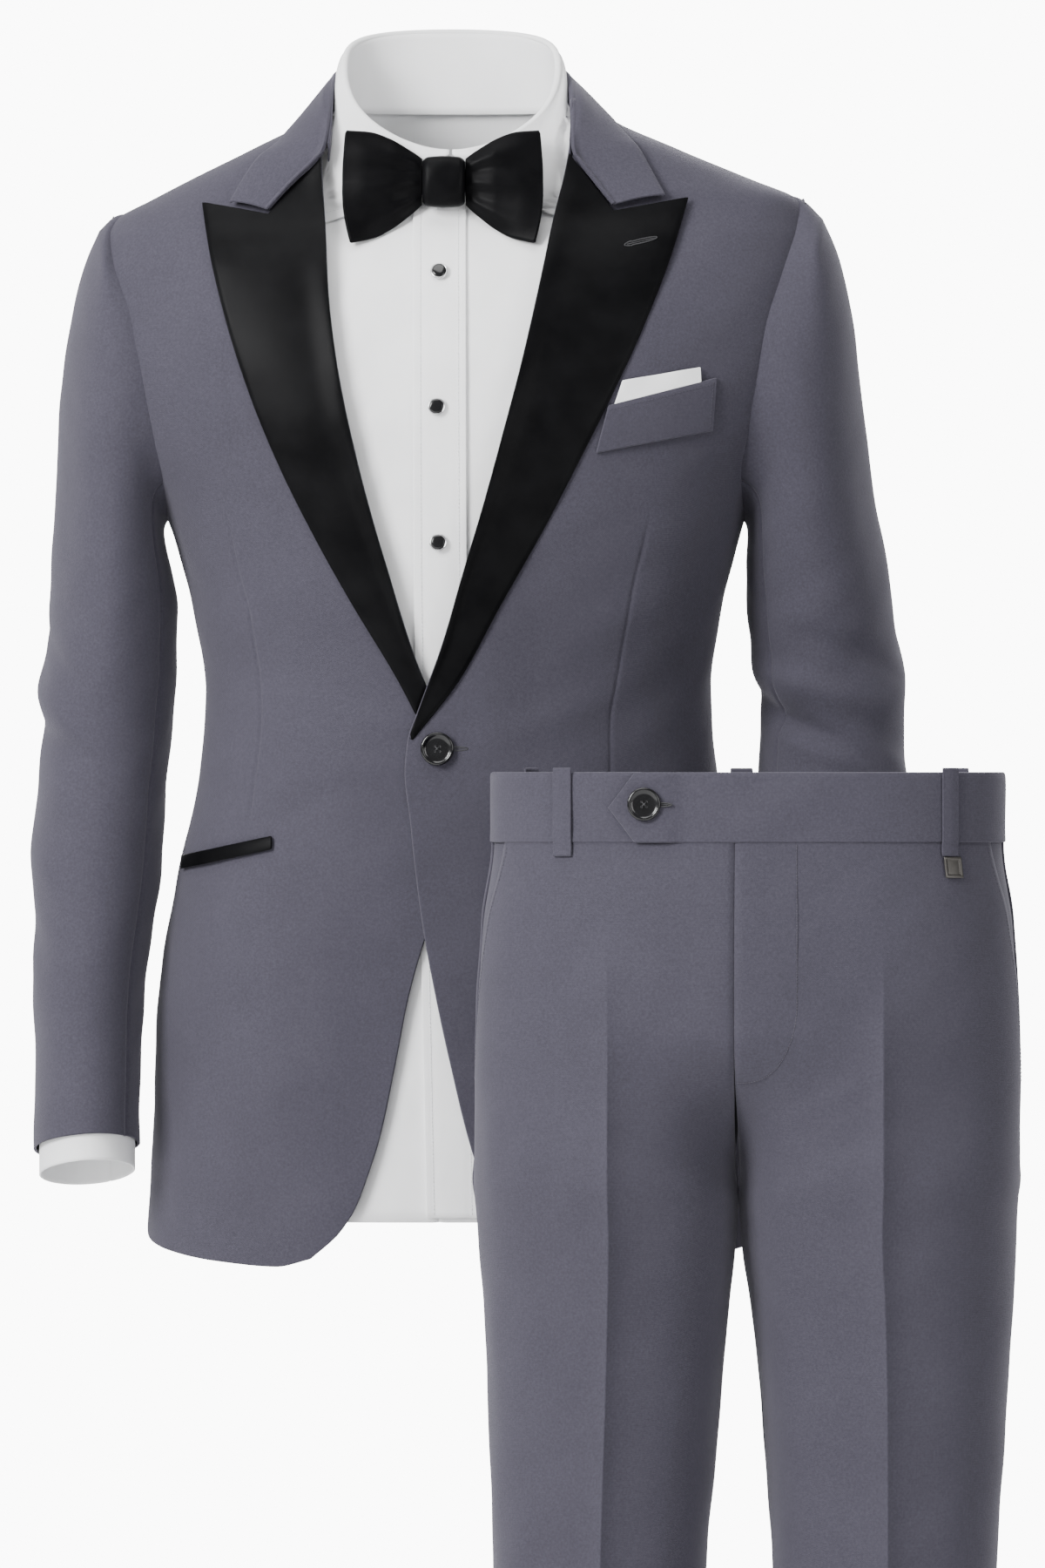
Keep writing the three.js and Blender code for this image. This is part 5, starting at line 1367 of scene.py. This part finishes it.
def on_front_edge(dx, dz):
    return on_front(2.5 + dx, BUTTON_AT[1] + dz, LAP_LIFT + 0.35)


def on_tab(dx, dz):
    return on_hips(band_angle(-57.5 + dx, 1), -20.3 + dz, BAND_OUT + 3.3) + TROUSER_AT


buttonhole("lapel_buttonhole", on_lapel, 22, 2.6)
buttonhole("front_buttonhole", on_front_edge, 18, 2.6)
buttonhole("waist_buttonhole", on_tab, 14, 2.4)


# Cloth panels are cut flat; here each is listed with the piece it rests on.
RESTS = {
    "collar": "collar_stand", "collar_stand": "back_left", "placket": "shirt_right",
    "shirt_rear": "shirt_stand", "shirt_stand": "shirt_rear", "shirt_leaf": "shirt_stand",
    "welt": "front_left", "square": "welt", "band_left": "band_right", "band_right": "leg_right",
}
for side in SIDES:
    RESTS |= {
        f"front_{side}": f"shirt_{side}", f"back_{side}": "shirt_rear",
        f"arm_{side}_top": f"front_{side}", f"arm_{side}_under": f"back_{side}",
        f"cuff_{side}": f"arm_{side}_top", f"satin_lapel_{side}": f"front_{side}",
        f"jet_{side}": f"front_{side}", f"shirt_{side}": "shirt_stand", f"bow_{side}": "shirt_leaf",
        f"pocket_{side}": f"leg_{side}", f"leg_{side}": f"band_{side}", f"seat_{side}": f"band_{side}",
    }
for i in range(1, len(LOOPS) + 1):
    RESTS[f"loop_{i}"] = "band_left" if i in (2, 3, 4) else "band_right"
for name, (obj, width, length, area, held) in SHEETS.items():
    area = min(area, width * length)


# The studio: a pale floor, soft lights, and surroundings that are brightest behind and to the left.
FLOOR_AT = -1.545
CAMERA_FAR = 10


def make_floor():
    mesh = bpy.data.meshes.new("floor")
    corners = [(x, y, FLOOR_AT) for x, y in ((-5, -5), (5, -5), (5, 5), (-5, 5))]
    mesh.from_pydata(corners, [], [(0, 1, 2, 3)])
    material, tree, shader = new_material("floor")
    cloud = noise(tree, 3, object_vector(tree), Detail=2.0)
    colour = tones(tree, cloud.outputs[0], [(0.3, (0.80,) * 3), (0.7, (0.84,) * 3)])
    link(tree, colour, shader.inputs["Base Color"])
    uniform(shader, roughness=0.85)
    mesh.materials.append(material)
    floor = bpy.data.objects.new("floor", mesh)
    bpy.context.scene.collection.objects.link(floor)


def area_light(name, place, target, size, power):
    data = bpy.data.lights.new(name, "AREA")
    data.shape = "RECTANGLE"
    data.size, data.size_y = size
    data.energy = power
    light = bpy.data.objects.new(name, data)
    light.location = place
    light.rotation_euler = (Vector(target) - Vector(place)).to_track_quat("-Z", "Y").to_euler()
    bpy.context.scene.collection.objects.link(light)


def make_surroundings():
    world = bpy.data.worlds.new("studio")
    bpy.context.scene.world = world
    world.use_nodes = True
    tree = world.node_tree
    split = tree.nodes.new("ShaderNodeSeparateXYZ")
    link(tree, tree.nodes.new("ShaderNodeTexCoord").outputs["Generated"], split.inputs[0])
    behind = times(tree, arithmetic(tree, "MAXIMUM", split.outputs[1], 0.0), 0.95)
    white = times(tree, arithmetic(tree, "SUBTRACT", split.outputs[1], 0.972), 50.0)
    white = arithmetic(tree, "MINIMUM", arithmetic(tree, "MAXIMUM", white, 0.0), 1.0)
    level = add(tree, add(tree, behind, 0.36), times(tree, white, 9.0))
    level = add(tree, level, times(tree, split.outputs[0], -0.16))
    link(tree, level, tree.nodes["Background"].inputs["Strength"])
    tree.nodes["Background"].inputs["Color"].default_value = (1, 1, 1, 1)


make_floor()
make_surroundings()
area_light("key", (-3.0, -3.2, 1.5), (0, 0, -0.5), (1.7, 2.2), 390)
area_light("fill", (3.2, -3.4, 0.2), (0.1, 0, -0.7), (2.2, 2.6), 78)
area_light("overhead", (-0.4, -0.8, 2.6), (0, 0, -0.5), (2.6, 2.2), 80)
area_light("rear", (1.4, 3.2, 1.4), (0, 0, -0.5), (2.4, 2.4), 90)

camera_data = bpy.data.cameras.new("camera")
camera_data.sensor_width = 36
camera_data.lens = 36 * CAMERA_FAR / 1.035
camera_data.clip_end = 60
camera = bpy.data.objects.new("camera", camera_data)
camera.location = (0.0472, -10.03, -0.46)
camera.rotation_euler = (math.pi / 2, 0, 0)
bpy.context.scene.collection.objects.link(camera)
bpy.context.scene.camera = camera
